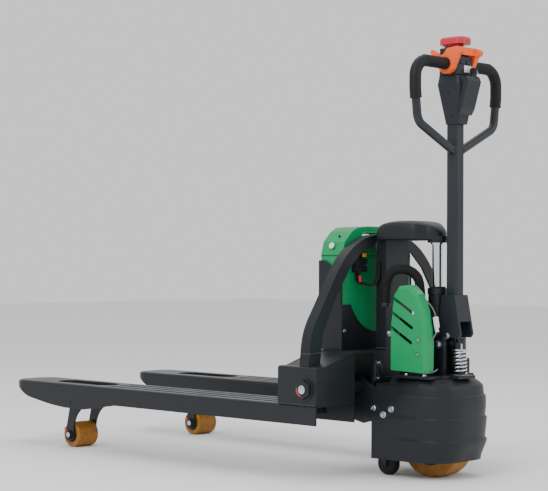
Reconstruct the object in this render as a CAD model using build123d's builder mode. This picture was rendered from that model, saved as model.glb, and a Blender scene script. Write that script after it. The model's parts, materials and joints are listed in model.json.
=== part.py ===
from build123d import *
import os
from math import cos, radians, sin

# Walkie electric pallet jack with the forks raised. +Z is up and +X points from the fork tips
# to the tiller. The origin is on the floor, in the middle of the footprint. Millimetres.

# ---- driving sizes -------------------------------------------------------------------------
fork_reach = 1360.0        # fork tip to the rear face of the heels
drive_overhang = 269.0     # rear face of the heels to the back of the drive shroud
tail_reach = 272.0         # rear face of the heels to the back of the key box
truck_width = 685.0        # over the two forks
fork_width = 160.0
fork_top = 205.0           # load face with the forks raised
fork_plate = 4.5
fork_edge = 9.0
nose_radius = 60.0
flange_depth = 54.0
keel_depth = 76.0          # deepest point of the flange, beside the load roller
lift_travel = 120.0
heel_length = 144.0
heel_top = 309.0
bridge_top = 346.0
heel_wall = 6.0
shaft_radius = 17.5
steer_offset = 145.0       # steering axis behind the heels
tyre_radius = 105.0
tyre_width = 70.0
roller_radius = 40.0
roller_width = 78.0
caster_radius = 33.0
caster_width = 30.0
shroud_half_width = 127.0
shroud_wall = 4.0
shroud_top = 275.0
column_top = 975.0         # top of the tiller tube
tube_side = 36.0
running_gap = 0.05         # radial clearance of every shaft in its bore
body_gap = 0.5             # clearance between rigid parts of different bodies

heel_x = (fork_reach - tail_reach) / 2
tip_x = heel_x - fork_reach
heel_front_x = heel_x - heel_length
steer_x = heel_x + steer_offset
shaft_x = heel_x - 42.0
shaft_z = 248.0
fork_y = (truck_width - fork_width) / 2
SIDES = {"left": -1, "right": 1}

# roller frames
leg_x = heel_x - 1046.0
leg_z = 147.0
leg_reach = 49.0           # axle ahead of the pivot
leg_inner = roller_width / 2 + 2.5
leg_plate = 6.0
pivot_radius = 8.0
axle_radius = 10.0
crank_radius = 36.0
crank_pin_radius = 6.0
crank_rest_angle = 22.75
leg_pin_x = 13.9
leg_pin_z = 19.3

# steering and lift
neck_radius = 58.0
neck_bottom = 226.0
deck_bottom = 246.0
deck_plate = 10.0
base_bottom = shroud_top + 1.0
base_plate = 8.0
base_top = base_bottom + base_plate
rod_radius = 15.0
barrel_top = 523.0
head_plate_z = 655.5
head_plate = 12.0

# tiller
hinge_x = steer_x + 33.0
hinge_z = 369.0
ear_inner = 31.0
ear_plate = 6.0
cheek_outer = 30.0
cheek_inner = 23.0
tube_x = steer_x + 61.0
head_x = steer_x + 65.0
spring_x = steer_x + 77.0
spring_bottom = base_top + 2.0
spring_top = 352.0
wire_radius = 2.5
spring_radius = 19.0
loop_y = 181.0
loop_tube = 12.0
grip_radius = 16.0

# A-frame and battery
arch_front_x = heel_x - 72.0
arch_rear_x = heel_x - 38.0
arch_plate = 6.0
battery_front_x = heel_x - 157.0
battery_rear_x = heel_x - 76.0
battery_half = 150.0
battery_bottom = 362.0
battery_top = 697.0
pocket_wall = 2.5
pocket_rim = 599.0

os.makedirs("parts", exist_ok=True)


def save(piece, label):
    """Label a finished piece and write its STEP file."""
    piece.part.label = label
    export_step(piece.part, f"parts/{label}.step")


def block(low, high, mode=Mode.ADD):
    """A box between two corners."""
    size = [b - a for a, b in zip(low, high)]
    with Locations(low):
        Box(*size, align=(Align.MIN, Align.MIN, Align.MIN), mode=mode)


def bar_y(x, z, radius, y_low, y_high, mode=Mode.ADD):
    """A round bar, or a bore, along Y."""
    with BuildSketch(Plane.XZ.offset(-y_high)) as end:
        with Locations((x, z)):
            Circle(radius)
    extrude(end.sketch, amount=y_high - y_low, mode=mode)


def bar_z(x, y, radius, z_low, z_high, mode=Mode.ADD):
    """A round bar, or a bore, along Z."""
    with BuildSketch(Plane.XY.offset(z_low)) as end:
        with Locations((x, y)):
            Circle(radius)
    extrude(end.sketch, amount=z_high - z_low, mode=mode)


def link_y(centres, radii, y_low, y_high, mode=Mode.ADD):
    """A flat link, round at both ends, lying in the XZ plane."""
    with BuildSketch(Plane.XZ.offset(-y_high)) as flat:
        for centre, radius in zip(centres, radii):
            with Locations(centre):
                Circle(radius)
        make_hull()
    extrude(flat.sketch, amount=y_high - y_low, mode=mode)


def outline_y(points, y_low, y_high, mode=Mode.ADD):
    """A plate in the XZ plane from its corner points."""
    with BuildSketch(Plane.XZ.offset(-y_high)) as flat:
        with BuildLine():
            Polyline(*points, close=True)
        make_face()
    extrude(flat.sketch, amount=y_high - y_low, mode=mode)


# ---- forks ---------------------------------------------------------------------------------
def make_fork(side):
    """Pressed channel with a rounded nose, a roller slot and three flutes along its top."""
    y = side * fork_y
    keel_z = fork_top - keel_depth
    flange_z = fork_top - flange_depth
    with BuildPart() as fork:
        with BuildSketch(Plane.XY.offset(keel_z)) as plan:
            with Locations(((tip_x + heel_x) / 2, y)):
                Rectangle(fork_reach, fork_width)
            fillet(plan.vertices().group_by(Axis.X)[0], nose_radius)
        extrude(amount=keel_depth)
        rim = fork.edges().group_by(Axis.Z)[-1].filter_by(lambda e: e.center().X < heel_x - 1)
        fillet(rim, fork_edge)
        with BuildSketch(Plane.XY.offset(keel_z)) as hollow:
            with Locations(((tip_x + fork_plate + heel_x) / 2, y)):
                Rectangle(fork_reach - fork_plate, fork_width - 2 * fork_plate)
            fillet(hollow.vertices().group_by(Axis.X)[0], nose_radius - fork_plate)
        extrude(amount=keel_depth - fork_plate, mode=Mode.SUBTRACT)
        with BuildSketch(Plane.XZ) as under:
            with BuildLine():
                Spline((tip_x - 1, fork_top - 15), (heel_x - 1325, fork_top - 24),
                       (heel_x - 1285, fork_top - 46), (heel_x - 1237, fork_top - 57),
                       (heel_x - 1158, fork_top - 69), (heel_x - 1073, keel_z))
                Polyline((heel_x - 1073, keel_z), (heel_x - 985, keel_z), (heel_x - 837, flange_z),
                         (heel_x + 1, flange_z), (heel_x + 1, keel_z - 1), (tip_x - 1, keel_z - 1),
                         (tip_x - 1, fork_top - 15))
            make_face()
        extrude(amount=truck_width, both=True, mode=Mode.SUBTRACT)
        with BuildSketch(Plane.XY.offset(fork_top - 3 * fork_plate)):
            with Locations((heel_x - 1059, y)):
                SlotOverall(262, 2 * roller_radius + 4)
            with Locations((shaft_x, y)):
                Rectangle(2 * (crank_radius - 2), 30)
        extrude(amount=4 * fork_plate, mode=Mode.SUBTRACT)
        with BuildSketch(Plane.XY.offset(fork_top - 2)):
            with Locations(*[(heel_x - 535, y + step) for step in (-42, 0, 42)]):
                SlotOverall(740, 15)
        extrude(amount=3, mode=Mode.SUBTRACT)
        # weld groove in front of the heel box
        block((heel_front_x - 3, y - fork_width, fork_top - 0.8),
              (heel_front_x - 1, y + fork_width, fork_top + 1),
              Mode.SUBTRACT)
        bar_y(leg_x, leg_z, pivot_radius + running_gap, y - fork_width, y + fork_width, Mode.SUBTRACT)
    return fork


for name, side in SIDES.items():
    save(make_fork(side), f"fork_{name}")

with BuildPart() as roller_frame_pins:
    for side in SIDES.values():
        reach = fork_width / 2 - 1.0
        bar_y(leg_x, leg_z, pivot_radius, side * fork_y - reach, side * fork_y + reach)
save(roller_frame_pins, "roller_frame_pins")


# ---- load roller frames --------------------------------------------------------------------
axle_x = leg_x - leg_reach
axle_z = roller_radius


def make_roller_frame(side):
    """Two legs on the pivot, the roller axle, and the ear that the push rod works."""
    y = side * fork_y
    with BuildPart() as frame:
        for face in (leg_inner, -leg_inner - leg_plate):
            low, high = y + face, y + face + leg_plate
            with BuildSketch(Plane.XZ.offset(-high)) as leg:
                with BuildLine():
                    Line((leg_x - 46, leg_z - 5), (axle_x - 20, axle_z + 6))
                    Line((axle_x - 20, axle_z + 6), (axle_x + 20, axle_z + 8))
                    ThreePointArc((axle_x + 20, axle_z + 8), (leg_x - 16, leg_z - 44),
                                  (leg_x + 18, leg_z - 17))
                    Line((leg_x + 18, leg_z - 17), (leg_x + 6, leg_z + 18))
                    Line((leg_x + 6, leg_z + 18), (leg_x - 46, leg_z - 5))
                make_face()
                with Locations((axle_x, axle_z)):
                    Circle(21)
                with Locations((leg_x, leg_z)):
                    Circle(19)
            extrude(leg.sketch, amount=leg_plate)
        bar_y(leg_x, leg_z, pivot_radius + 4, y - leg_inner, y + leg_inner)
        link_y([(leg_x, leg_z), (leg_x - leg_pin_x, leg_z + leg_pin_z)], [12, 9], y - 5, y + 5)
        bar_y(leg_x - leg_pin_x, leg_z + leg_pin_z, crank_pin_radius, y - 13, y + 13)
        bar_y(leg_x, leg_z, pivot_radius + running_gap, y - 60, y + 60, Mode.SUBTRACT)
        end = leg_inner + leg_plate + 6
        bar_y(axle_x, axle_z, axle_radius, y - end, y + end)
    return frame


def make_roller(side):
    """Load roller with rounded edges."""
    y = side * fork_y
    with BuildPart() as roller:
        bar_y(axle_x, axle_z, roller_radius, y - roller_width / 2, y + roller_width / 2)
        fillet(roller.edges().filter_by(GeomType.CIRCLE), 4)
        bar_y(axle_x, axle_z, axle_radius + running_gap, y - roller_width, y + roller_width, Mode.SUBTRACT)
    return roller


for name, side in SIDES.items():
    save(make_roller_frame(side), f"roller_frame_{name}")
    save(make_roller(side), f"load_roller_{name}")


# ---- lift linkage: cross shaft, cranks, link arms, push rods --------------------------------
crank_dx = -crank_radius * sin(radians(crank_rest_angle))
crank_dz = -crank_radius * cos(radians(crank_rest_angle))
arm_inner = 113.5
arm_plate = 7.0
arm_end_x = heel_x + 100.0
arm_end_z = 185.0
arm_pin_radius = 8.0
nut_face = truck_width / 2 - 2.5

with BuildPart() as lift_shaft:
    bar_y(shaft_x, shaft_z, shaft_radius, -nut_face - 12, nut_face + 12)
    for side in SIDES.values():
        y = side * fork_y
        pin_at = (shaft_x + crank_dx, shaft_z + crank_dz)
        link_y([(shaft_x, shaft_z), pin_at], [25, 10], y - 5, y + 5)
        bar_y(*pin_at, crank_pin_radius, y - 13, y + 13)
save(lift_shaft, "lift_shaft")

with BuildPart() as shaft_nuts:
    for side in SIDES.values():
        face = side * (nut_face + 0.3)
        with BuildSketch(Plane.XZ.offset(-max(face, face + side * 3))) as washer:
            with Locations((shaft_x, shaft_z)):
                Circle(27)
                Circle(shaft_radius + running_gap, mode=Mode.SUBTRACT)
        extrude(washer.sketch, amount=3)
        start = side * (nut_face + 3.3)
        with BuildSketch(Plane.XZ.offset(-max(start, start + side * 11))) as nut:
            with Locations((shaft_x, shaft_z)):
                RegularPolygon(24, 6, major_radius=False)
                Circle(shaft_radius + running_gap, mode=Mode.SUBTRACT)
        extrude(nut.sketch, amount=11)
save(shaft_nuts, "shaft_nuts")

for name, side in SIDES.items():
    with BuildPart() as link_arm:
        top = max(side * arm_inner, side * (arm_inner + arm_plate))
        with BuildSketch(Plane.XZ.offset(-top)) as arm:
            with BuildLine():
                Line((heel_x - 64, 252), (heel_x - 56, 276))
                Line((heel_x - 56, 276), (heel_x - 40, 283))
                ThreePointArc((heel_x - 40, 283), (heel_x + 22, 240), (arm_end_x, 212))
                Line((arm_end_x, 212), (arm_end_x + 18, 196))
                Line((arm_end_x + 18, 196), (arm_end_x + 14, 170))
                Line((arm_end_x + 14, 170), (heel_x - 4, 148))
                Line((heel_x - 4, 148), (heel_x - 22, 143))
                Line((heel_x - 22, 143), (heel_x - 54, 150))
                Line((heel_x - 54, 150), (heel_x - 64, 252))
            make_face()
            with Locations((shaft_x, shaft_z)):
                Circle(shaft_radius + running_gap, mode=Mode.SUBTRACT)
            with Locations((arm_end_x - 6.2, arm_end_z + 2.5)):
                SlotCenterToCenter(13.3, 2 * arm_pin_radius + 4, rotation=-22.5, mode=Mode.SUBTRACT)
        extrude(arm.sketch, amount=arm_plate)
    save(link_arm, f"link_arm_{name}")

rod_low, rod_high = leg_z + 31, leg_z + 45
with BuildPart() as push_rods:
    for side in SIDES.values():
        y = side * fork_y
        front = leg_x - leg_pin_x
        rear = shaft_x + crank_dx
        for face in (6.0, -12.0):
            block((front - 14, y + face, leg_z + 13), (front + 14, y + face + 6, rod_high))
            block((rear - 14, y + face, rod_low), (rear + 14, y + face + 6, shaft_z - shaft_radius - 4))
        block((front + 14, y - 12, rod_low), (rear - 14, y + 12, rod_high))
        slot = crank_pin_radius + 1
        block((front - slot, y - 13, leg_z), (front + slot, y + 13, leg_z + 31.5), Mode.SUBTRACT)
        block((rear - slot, y - 13, shaft_z + crank_dz - 10), (rear + slot, y + 13, shaft_z), Mode.SUBTRACT)
save(push_rods, "push_rods")


# ---- heels and cross member ----------------------------------------------------------------
box_outer = truck_width / 2 - 2.5
arch_foot = box_outer - 10.0
box_inner = fork_y - fork_width / 2
slope_end = max(190.0, box_inner + 4)
panel_half = 105.0


def heel_profile(inset, bottom):
    """Section of a heel across the truck, on the right side."""
    outer, inner = box_outer - inset, box_inner + inset
    return [(outer, bottom), (outer, heel_top - inset), (outer - 33 + inset, heel_top - inset),
            (max(slope_end, inner + 4), bridge_top - 1 - inset), (inner, bridge_top - 1 - inset),
            (inner, bottom)]


for name, side in SIDES.items():
    with BuildPart() as heel:
        with BuildSketch(Plane.YZ.offset(heel_front_x)):
            with BuildLine():
                Polyline(*[(side * a, b) for a, b in heel_profile(0, fork_top)], close=True)
            make_face()
        extrude(amount=heel_length)
        corner = heel.edges().filter_by(Axis.X).filter_by(
            lambda e: abs(abs(e.center().Y) - box_outer) < 1 and e.center().Z > heel_top - 1)
        fillet(corner, 8)
        with BuildSketch(Plane.YZ.offset(heel_front_x + heel_wall)):
            with BuildLine():
                Polyline(*[(side * a, b) for a, b in heel_profile(heel_wall, fork_top - 1)], close=True)
            make_face()
        extrude(amount=heel_length - 2 * heel_wall, mode=Mode.SUBTRACT)
        low, high = sorted((side * (box_inner - 1), side * (box_outer + 1)))
        bar_y(shaft_x, shaft_z, shaft_radius + running_gap, low, high, Mode.SUBTRACT)
    save(heel, f"heel_box_{name}")

with BuildPart() as cross_member:
    block((heel_front_x, -box_inner, bridge_top - heel_wall), (heel_x, box_inner, bridge_top))
    block((heel_front_x, -box_inner, fork_top), (heel_front_x + heel_wall, box_inner, bridge_top))
    block((heel_x - heel_wall, -panel_half, fork_top), (heel_x, panel_half, bridge_top))
    front_top = cross_member.edges().filter_by(Axis.Y).group_by(Axis.Z)[-1].sort_by(Axis.X)[0]
    fillet(front_top, 4)
save(cross_member, "cross_member")

with BuildPart() as limit_switch:
    block((heel_x + 0.1, -panel_half + 8, 262), (heel_x + 3.1, -panel_half + 24, 305))
    block((heel_x + 0.1, -panel_half + 10, 305), (heel_x + 3.6, -panel_half + 30, 318))
save(limit_switch, "limit_switch")

# ---- A-frame -------------------------------------------------------------------------------
arch_shape = [(330, heel_top - 4), (326, 350), (316, 400), (273, 474), (228, 544), (188, 598), (140, 640),
              (88, 664), (30, 674), (0, 675)]
window_shape = [(285, heel_top - 5), (272, 400), (215, 500), (160, 578), (110, 622), (60, 640)]
arch_spread = arch_foot / arch_shape[0][0]
arch_points = [(arch_spread * y, z) for y, z in arch_shape]
window_points = [(arch_spread * y, z) for y, z in window_shape]


def arch_outline(inset):
    """One side of the arch's outer edge, moved inwards by a plate."""
    moved = []
    for index, (y, z) in enumerate(arch_points):
        (y0, z0), (y1, z1) = arch_points[max(index - 1, 0)], arch_points[min(index + 1, len(arch_points) - 1)]
        run = ((y1 - y0) ** 2 + (z1 - z0) ** 2) ** 0.5
        moved.append((y - inset * (z1 - z0) / run, z + inset * (y1 - y0) / run))
    moved[0] = (moved[0][0], arch_points[0][1])
    moved[-1] = (0, arch_points[-1][1] - inset)
    return [(-y, z) for y, z in moved] + moved[-2::-1]


def arch_face(inset):
    """Face of the whole arch down to its feet."""
    points = arch_outline(inset)
    with BuildLine() as edge:
        Spline(*points)
        Line(points[-1], points[0])
    make_face(edge.edges())


with BuildPart() as a_frame:
    with BuildSketch(Plane.YZ.offset(arch_front_x)):
        arch_face(0)
    extrude(amount=arch_rear_x - arch_front_x)
    with BuildSketch(Plane.YZ.offset(arch_front_x - 1)):
        arch_face(arch_plate)
    extrude(amount=arch_rear_x - arch_front_x + 1 - arch_plate, mode=Mode.SUBTRACT)
    with BuildSketch(Plane.YZ.offset(arch_front_x - 1)):
        with BuildLine():
            Polyline(*window_points, *[(-y, z) for y, z in reversed(window_points)], close=True)
        make_face()
    extrude(amount=arch_rear_x - arch_front_x + 2, mode=Mode.SUBTRACT)
    for side in SIDES.values():
        slope = [(box_outer + 5, heel_top), (box_outer - 33, heel_top), (slope_end, bridge_top - 1),
                 (slope_end, heel_top - 10), (box_outer + 5, heel_top - 10)]
        with BuildSketch(Plane.YZ.offset(arch_front_x - 1)):
            with BuildLine():
                Polyline(*[(side * a, b) for a, b in slope], close=True)
            make_face()
        extrude(amount=arch_rear_x - arch_front_x + 2, mode=Mode.SUBTRACT)
save(a_frame, "a_frame")

# ---- mast column, head plate and top cover ---------------------------------------------------
with BuildPart() as mast_column:
    column_x = heel_x - 62
    block((column_x + 26, -50, bridge_top), (heel_x, 50, head_plate_z))
    block((column_x + 32, -44, bridge_top + 10), (heel_x - 6, 44, head_plate_z - 10), Mode.SUBTRACT)
    with BuildSketch(Plane.XY.offset(head_plate_z)):
        with BuildLine():
            Polyline((heel_x - 24, -62), (steer_x - 35, -50), (steer_x, -30), (steer_x, 30),
                     (steer_x - 35, 50), (heel_x - 24, 62), close=True)
        make_face()
        with Locations((steer_x, 0)):
            Circle(30)
    extrude(amount=head_plate)
    bar_z(steer_x, 0, 28, head_plate_z - 6.5, head_plate_z)
save(mast_column, "mast_column")

cover_front_x = heel_x - 26
with BuildPart() as top_cover:
    with BuildSketch(Plane.XY.offset(head_plate_z)):
        with BuildLine():
            Polyline((cover_front_x, -72), (steer_x - 30, -70), (steer_x - 6, -39), (steer_x + 8, -30),
                     (steer_x + 19, 0), (steer_x + 8, 30), (steer_x - 6, 39), (steer_x - 30, 70),
                     (cover_front_x, 72), close=True)
        make_face()
    extrude(amount=56)
    sharp = top_cover.edges().filter_by(Axis.Z)
    fillet(sharp, 6)
    fillet(top_cover.faces().sort_by(Axis.Z)[-1].edges(), 18)
    with BuildSketch(Plane.XY.offset(head_plate_z - 1)):
        with BuildLine():
            Polyline((cover_front_x + 2, -66), (steer_x - 32, -65), (steer_x - 8, -36), (steer_x + 2, -28),
                     (steer_x + 13, 0), (steer_x + 2, 28), (steer_x - 8, 36), (steer_x - 32, 65),
                     (cover_front_x + 2, 66), close=True)
        make_face()
    extrude(amount=40, mode=Mode.SUBTRACT)
    bar_z(steer_x, 0, 31, head_plate_z - 1, head_plate_z + head_plate + 1, Mode.SUBTRACT)
save(top_cover, "top_cover")

with BuildPart() as piston_rod:
    bar_z(steer_x, 0, rod_radius, head_plate_z - 6.5 - 215, head_plate_z - 11)
    bar_z(steer_x, 0, 19, head_plate_z - 11, head_plate_z - 6.5)
save(piston_rod, "piston_rod")

# ---- battery, its pocket and leads -----------------------------------------------------------
pocket_front_x = battery_front_x - 1 - pocket_wall
pocket_rear_x = battery_rear_x + 1
pocket_half = battery_half + 4
with BuildPart() as battery_pocket:
    block((pocket_front_x, -pocket_half - pocket_wall, bridge_top),
          (pocket_rear_x + pocket_wall, pocket_half + pocket_wall, pocket_rim))
    block((pocket_front_x + pocket_wall, -pocket_half, bridge_top + 8),
          (pocket_rear_x, pocket_half, pocket_rim + 1), Mode.SUBTRACT)
    block((pocket_front_x + pocket_wall, -pocket_half, bridge_top - 1),
          (pocket_rear_x, pocket_half, bridge_top + 5), Mode.SUBTRACT)
    # the rear wall is scooped low so that the battery shows, and the end walls slope to the rear
    with BuildSketch(Plane.YZ.offset(pocket_rear_x - 1)):
        with Locations((0, 560)):
            SlotOverall(330, 250, rotation=90)
    extrude(amount=pocket_wall + 2, mode=Mode.SUBTRACT)
    block((pocket_rear_x - 1, -pocket_half - 5, 474),
          (pocket_rear_x + 5, pocket_half + 5, 620), Mode.SUBTRACT)
    outline_y([(pocket_front_x + 20, pocket_rim + 1), (pocket_rear_x + 5, pocket_rim + 1),
               (pocket_rear_x + 5, pocket_rim - 42)], -200, 200, Mode.SUBTRACT)
save(battery_pocket, "battery_pocket")

with BuildPart() as battery_case:
    with BuildSketch(Plane.YZ.offset(battery_front_x)):
        with BuildLine():
            Polyline((-battery_half, battery_bottom), (-battery_half, 618), (-battery_half + 10, 652),
                     (-battery_half + 40, 681), (-88, 692), (-40, battery_top), (40, battery_top), (88, 692),
                     (battery_half - 40, 681), (battery_half - 10, 652), (battery_half, 618),
                     (battery_half, battery_bottom), close=True)
        make_face()
        with Locations((0, 664)):
            SlotOverall(140, 30, mode=Mode.SUBTRACT)
    extrude(amount=battery_rear_x - battery_front_x)
    fillet(battery_case.edges().filter_by(Axis.Y), 3)
save(battery_case, "battery_case")

with BuildPart() as battery_connector:
    block((battery_rear_x + 1.5, -112, 566), (battery_rear_x + 17, -62, 604))
    block((battery_rear_x + 1.5, -82, 607), (battery_rear_x + 12, -60, 622))
save(battery_connector, "battery_connector")

lead_radius = 3.5
lead_route = [(battery_rear_x + 7, -98, 565.8), (battery_rear_x + 7, -98, 538), (heel_x - 40, -66, 528),
              (heel_x - 32, -54.5, 550), (heel_x - 30, -54.5, 590)]
with BuildPart() as battery_leads:
    for shift in (0.0, 2.6 * lead_radius):
        route = [(a + shift, b, c) for a, b, c in lead_route]
        with BuildLine() as wire:
            FilletPolyline(*route, radius=12)
        with BuildSketch(Plane(origin=wire.line @ 0, z_dir=wire.line % 0)):
            Circle(lead_radius)
        sweep(path=wire.line)
save(battery_leads, "battery_leads")

# ---- chassis ---------------------------------------------------------------------------------
caster_x = heel_x + 26.0
caster_y = 73.0
caster_trail = 6.0
wall_x = heel_x + 11.0
deck_half = 104.0
shelf_z = 96.0
with BuildPart() as chassis_frame:
    with BuildSketch(Plane.XY.offset(deck_bottom)):
        with Locations(((wall_x + steer_x) / 2, 0)):
            Rectangle(steer_x - wall_x, 2 * deck_half)
        with Locations((steer_x, 0)):
            Circle(deck_half)
            Circle(neck_radius + 4, mode=Mode.SUBTRACT)
    extrude(amount=deck_plate)
    block((wall_x, -deck_half, shelf_z), (wall_x + 6, deck_half, deck_bottom))
    for side in SIDES.values():
        low, high = sorted((side * 54, side * deck_half))
        block((wall_x, low, shelf_z), (wall_x + 36, high, shelf_z + 8))
        low, high = sorted((side * (deck_half - 8), side * deck_half))
        link_y([(arm_end_x, arm_end_z), (arm_end_x, deck_bottom - 18)], [18, 18], low, high)
        block((wall_x, low, 205), (arm_end_x + 18, high, deck_bottom))
        low, high = sorted((side * deck_half, side * (arm_inner + arm_plate + 1)))
        bar_y(arm_end_x, arm_end_z, arm_pin_radius, low, high)
save(chassis_frame, "chassis_frame")

with BuildPart() as steering_bearing:
    bar_z(steer_x, 0, neck_radius + 17, deck_bottom - 16, deck_bottom)
    bar_z(steer_x, 0, neck_radius + running_gap, deck_bottom - 17, deck_bottom + 1, Mode.SUBTRACT)
save(steering_bearing, "steering_bearing")


def shroud_plan(inset, front):
    """D-shaped plan of the shroud: two straight sides and a round back."""
    half = shroud_half_width - inset
    centre_x = heel_x + drive_overhang - shroud_half_width
    with Locations(((front + centre_x) / 2, 0)):
        Rectangle(centre_x - front, 2 * half)
    with Locations((centre_x, 0)):
        Circle(half)


shroud_bottom = 48.0
with BuildPart() as drive_shroud:
    with BuildSketch(Plane.XY.offset(shroud_bottom)):
        shroud_plan(0, wall_x)
    extrude(amount=shroud_top - shroud_bottom)
    crown = drive_shroud.faces().sort_by(Axis.Z)[-1].edges().filter_by(lambda e: e.center().X > wall_x + 1)
    fillet(crown, 26)
    with BuildSketch(Plane.XY.offset(shroud_bottom - 1)):
        shroud_plan(shroud_wall, wall_x - 1)
    extrude(amount=shroud_top - shroud_wall - shroud_bottom - 12, mode=Mode.SUBTRACT)
    block((wall_x - 1, -shroud_half_width + 22, shroud_top - 30),
          (steer_x + 62, shroud_half_width - 22, shroud_top - shroud_wall), Mode.SUBTRACT)
    bar_z(steer_x, 0, neck_radius + 8, shroud_top - 40, shroud_top + 1, Mode.SUBTRACT)
    block((wall_x - 1, -98, shroud_top - 30), (wall_x + 40, 98, shroud_top + 1), Mode.SUBTRACT)
save(drive_shroud, "drive_shroud")

bolt_places = [(heel_x + 21, 189), (heel_x + 58, 173), (heel_x + 86, 190)]
with BuildPart() as shroud_bolts:
    for side in SIDES.values():
        for x, z in bolt_places:
            low, high = sorted((side * (shroud_half_width + 0.1), side * (shroud_half_width + 2.1)))
            bar_y(x, z, 9.5, low, high)
            start = side * (shroud_half_width + 2.1)
            with BuildSketch(Plane.XZ.offset(-max(start, start + side * 6))) as hexagon:
                with Locations((x, z)):
                    RegularPolygon(6.5, 6, major_radius=False)
            extrude(hexagon.sketch, amount=6)
save(shroud_bolts, "shroud_bolts")

# ---- casters ---------------------------------------------------------------------------------
for name, side in SIDES.items():
    y = side * caster_y
    wheel_x = caster_x + caster_trail
    with BuildPart() as caster_fork:
        bar_z(caster_x, y, 20, shelf_z - 8, shelf_z - body_gap)
        block((caster_x - 14, y - 21, 72), (caster_x + 16, y + 21, shelf_z - 8))
        for face in (17.0, -21.0):
            link_y([(caster_x + 1, 78), (wheel_x, caster_radius)], [13, 8], y + face, y + face + 4)
        bar_y(wheel_x, caster_radius, 5, y - 21, y + 21)
    save(caster_fork, f"caster_fork_{name}")
    with BuildPart() as caster_wheel:
        with BuildSketch(Plane.YZ.offset(wheel_x)):
            with Locations((y, caster_radius)):
                Rectangle(caster_width, 2 * caster_radius)
            with Locations((y, caster_radius)):
                Rectangle(caster_width + 2, 10 + 2 * running_gap, mode=Mode.SUBTRACT)
            with Locations((y, 0)):
                Rectangle(caster_width + 2, 2 * caster_radius, mode=Mode.SUBTRACT)
        spin = Axis((wheel_x, y, caster_radius), (0, 1, 0))
        revolve(axis=spin)
        fillet(caster_wheel.edges().filter_by(GeomType.CIRCLE).sort_by(SortBy.LENGTH)[-2:], 10)
    save(caster_wheel, f"caster_wheel_{name}")

# ---- drive unit ------------------------------------------------------------------------------
yoke_inner = tyre_width / 2 + 4
yoke_outer = yoke_inner + 7
drive_z = tyre_radius
with BuildPart() as drive_fork:
    block((steer_x - 50, -yoke_outer, 2 * tyre_radius + 3.5), (steer_x + 50, yoke_outer, neck_bottom))
    bar_z(steer_x, 0, neck_radius, neck_bottom, base_bottom)
    for face in (yoke_inner, -yoke_outer):
        link_y([(steer_x, drive_z), (steer_x, neck_bottom - 32)], [30, 30], face,
               face + yoke_outer - yoke_inner)
    bar_y(steer_x, drive_z, 12.0, -yoke_outer, yoke_outer, Mode.SUBTRACT)
save(drive_fork, "drive_fork")

with BuildPart() as drive_motor:
    bar_y(steer_x, drive_z, 45, yoke_outer, 100)
    bar_y(steer_x, drive_z, 48, -72, -yoke_outer)
    fillet(drive_motor.edges().filter_by(GeomType.CIRCLE), 5)
save(drive_motor, "drive_motor")

with BuildPart() as drive_axle:
    bar_y(steer_x, drive_z, 12 - running_gap, -yoke_outer, yoke_outer)
save(drive_axle, "drive_axle")

hub_radius = 72.0
with BuildPart() as drive_hub:
    bar_y(steer_x, drive_z, hub_radius, -tyre_width / 2, tyre_width / 2)
    for angle in range(0, 360, 60):
        hole = (steer_x + 48 * cos(radians(angle)), drive_z + 48 * sin(radians(angle)))
        bar_y(*hole, 7, -tyre_width, tyre_width, Mode.SUBTRACT)
    bar_y(steer_x, drive_z, 12, -tyre_width, tyre_width, Mode.SUBTRACT)
save(drive_hub, "drive_hub")

with BuildPart() as drive_tyre:
    bar_y(steer_x, drive_z, tyre_radius, -tyre_width / 2, tyre_width / 2)
    fillet(drive_tyre.edges().filter_by(GeomType.CIRCLE), 5)
    bar_y(steer_x, drive_z, hub_radius, -tyre_width, tyre_width, Mode.SUBTRACT)
save(drive_tyre, "drive_tyre")

# ---- swivel base, lift cylinder, power pack ----------------------------------------------------
with BuildPart() as swivel_base:
    with BuildSketch(Plane.XY.offset(base_bottom)):
        with Locations((steer_x, 0)):
            Circle(80)
        with Locations((steer_x + 52, 0)):
            Rectangle(104, 2 * (ear_inner + ear_plate))
        with Locations((steer_x - 5, -72)):
            Rectangle(130, 78)
        with Locations((steer_x, 68)):
            Rectangle(90, 80)
    extrude(amount=base_plate)
    for face in (ear_inner, -ear_inner - ear_plate):
        link_y([(hinge_x, hinge_z), (hinge_x, base_top + 18)], [18, 18], face, face + ear_plate)
        block((hinge_x - 18, face, base_top - 1), (hinge_x + 18, face + ear_plate, base_top + 20))
    bar_y(hinge_x, hinge_z, pivot_radius + running_gap, -50, 50, Mode.SUBTRACT)
    bar_z(spring_x, 0, 9, base_top, spring_top - 47)
    bar_z(spring_x, 0, 5.6, base_top, spring_top - 46, Mode.SUBTRACT)
save(swivel_base, "swivel_base")

with BuildPart() as tiller_hinge_bolt:
    for side in SIDES.values():
        low, high = sorted((side * (cheek_inner + 1), side * (ear_inner + ear_plate)))
        bar_y(hinge_x, hinge_z, pivot_radius, low, high)
        low, high = sorted((side * (ear_inner + ear_plate), side * (ear_inner + ear_plate + 6)))
        bar_y(hinge_x, hinge_z, 12, low, high)
save(tiller_hinge_bolt, "tiller_hinge_bolt")

with BuildPart() as lift_cylinder:
    bar_z(steer_x, 0, 28, base_top, 453)
    bar_z(steer_x, 0, 26, 453, barrel_top - 16)
    bar_z(steer_x, 0, 27.5, barrel_top - 16, barrel_top)
    bar_z(steer_x, 0, rod_radius + running_gap, base_top + 20, barrel_top + 1, Mode.SUBTRACT)
save(lift_cylinder, "lift_cylinder")

cover_outer = 115.0
cover_inner = 80.0
cover_x = heel_x + 64.0
cover_points = [(0, 297), (0, 413), (12, 505), (32, 529), (70, 532), (98, 508), (119, 462), (129, 410),
                (132, 370), (131, 292)]


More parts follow.
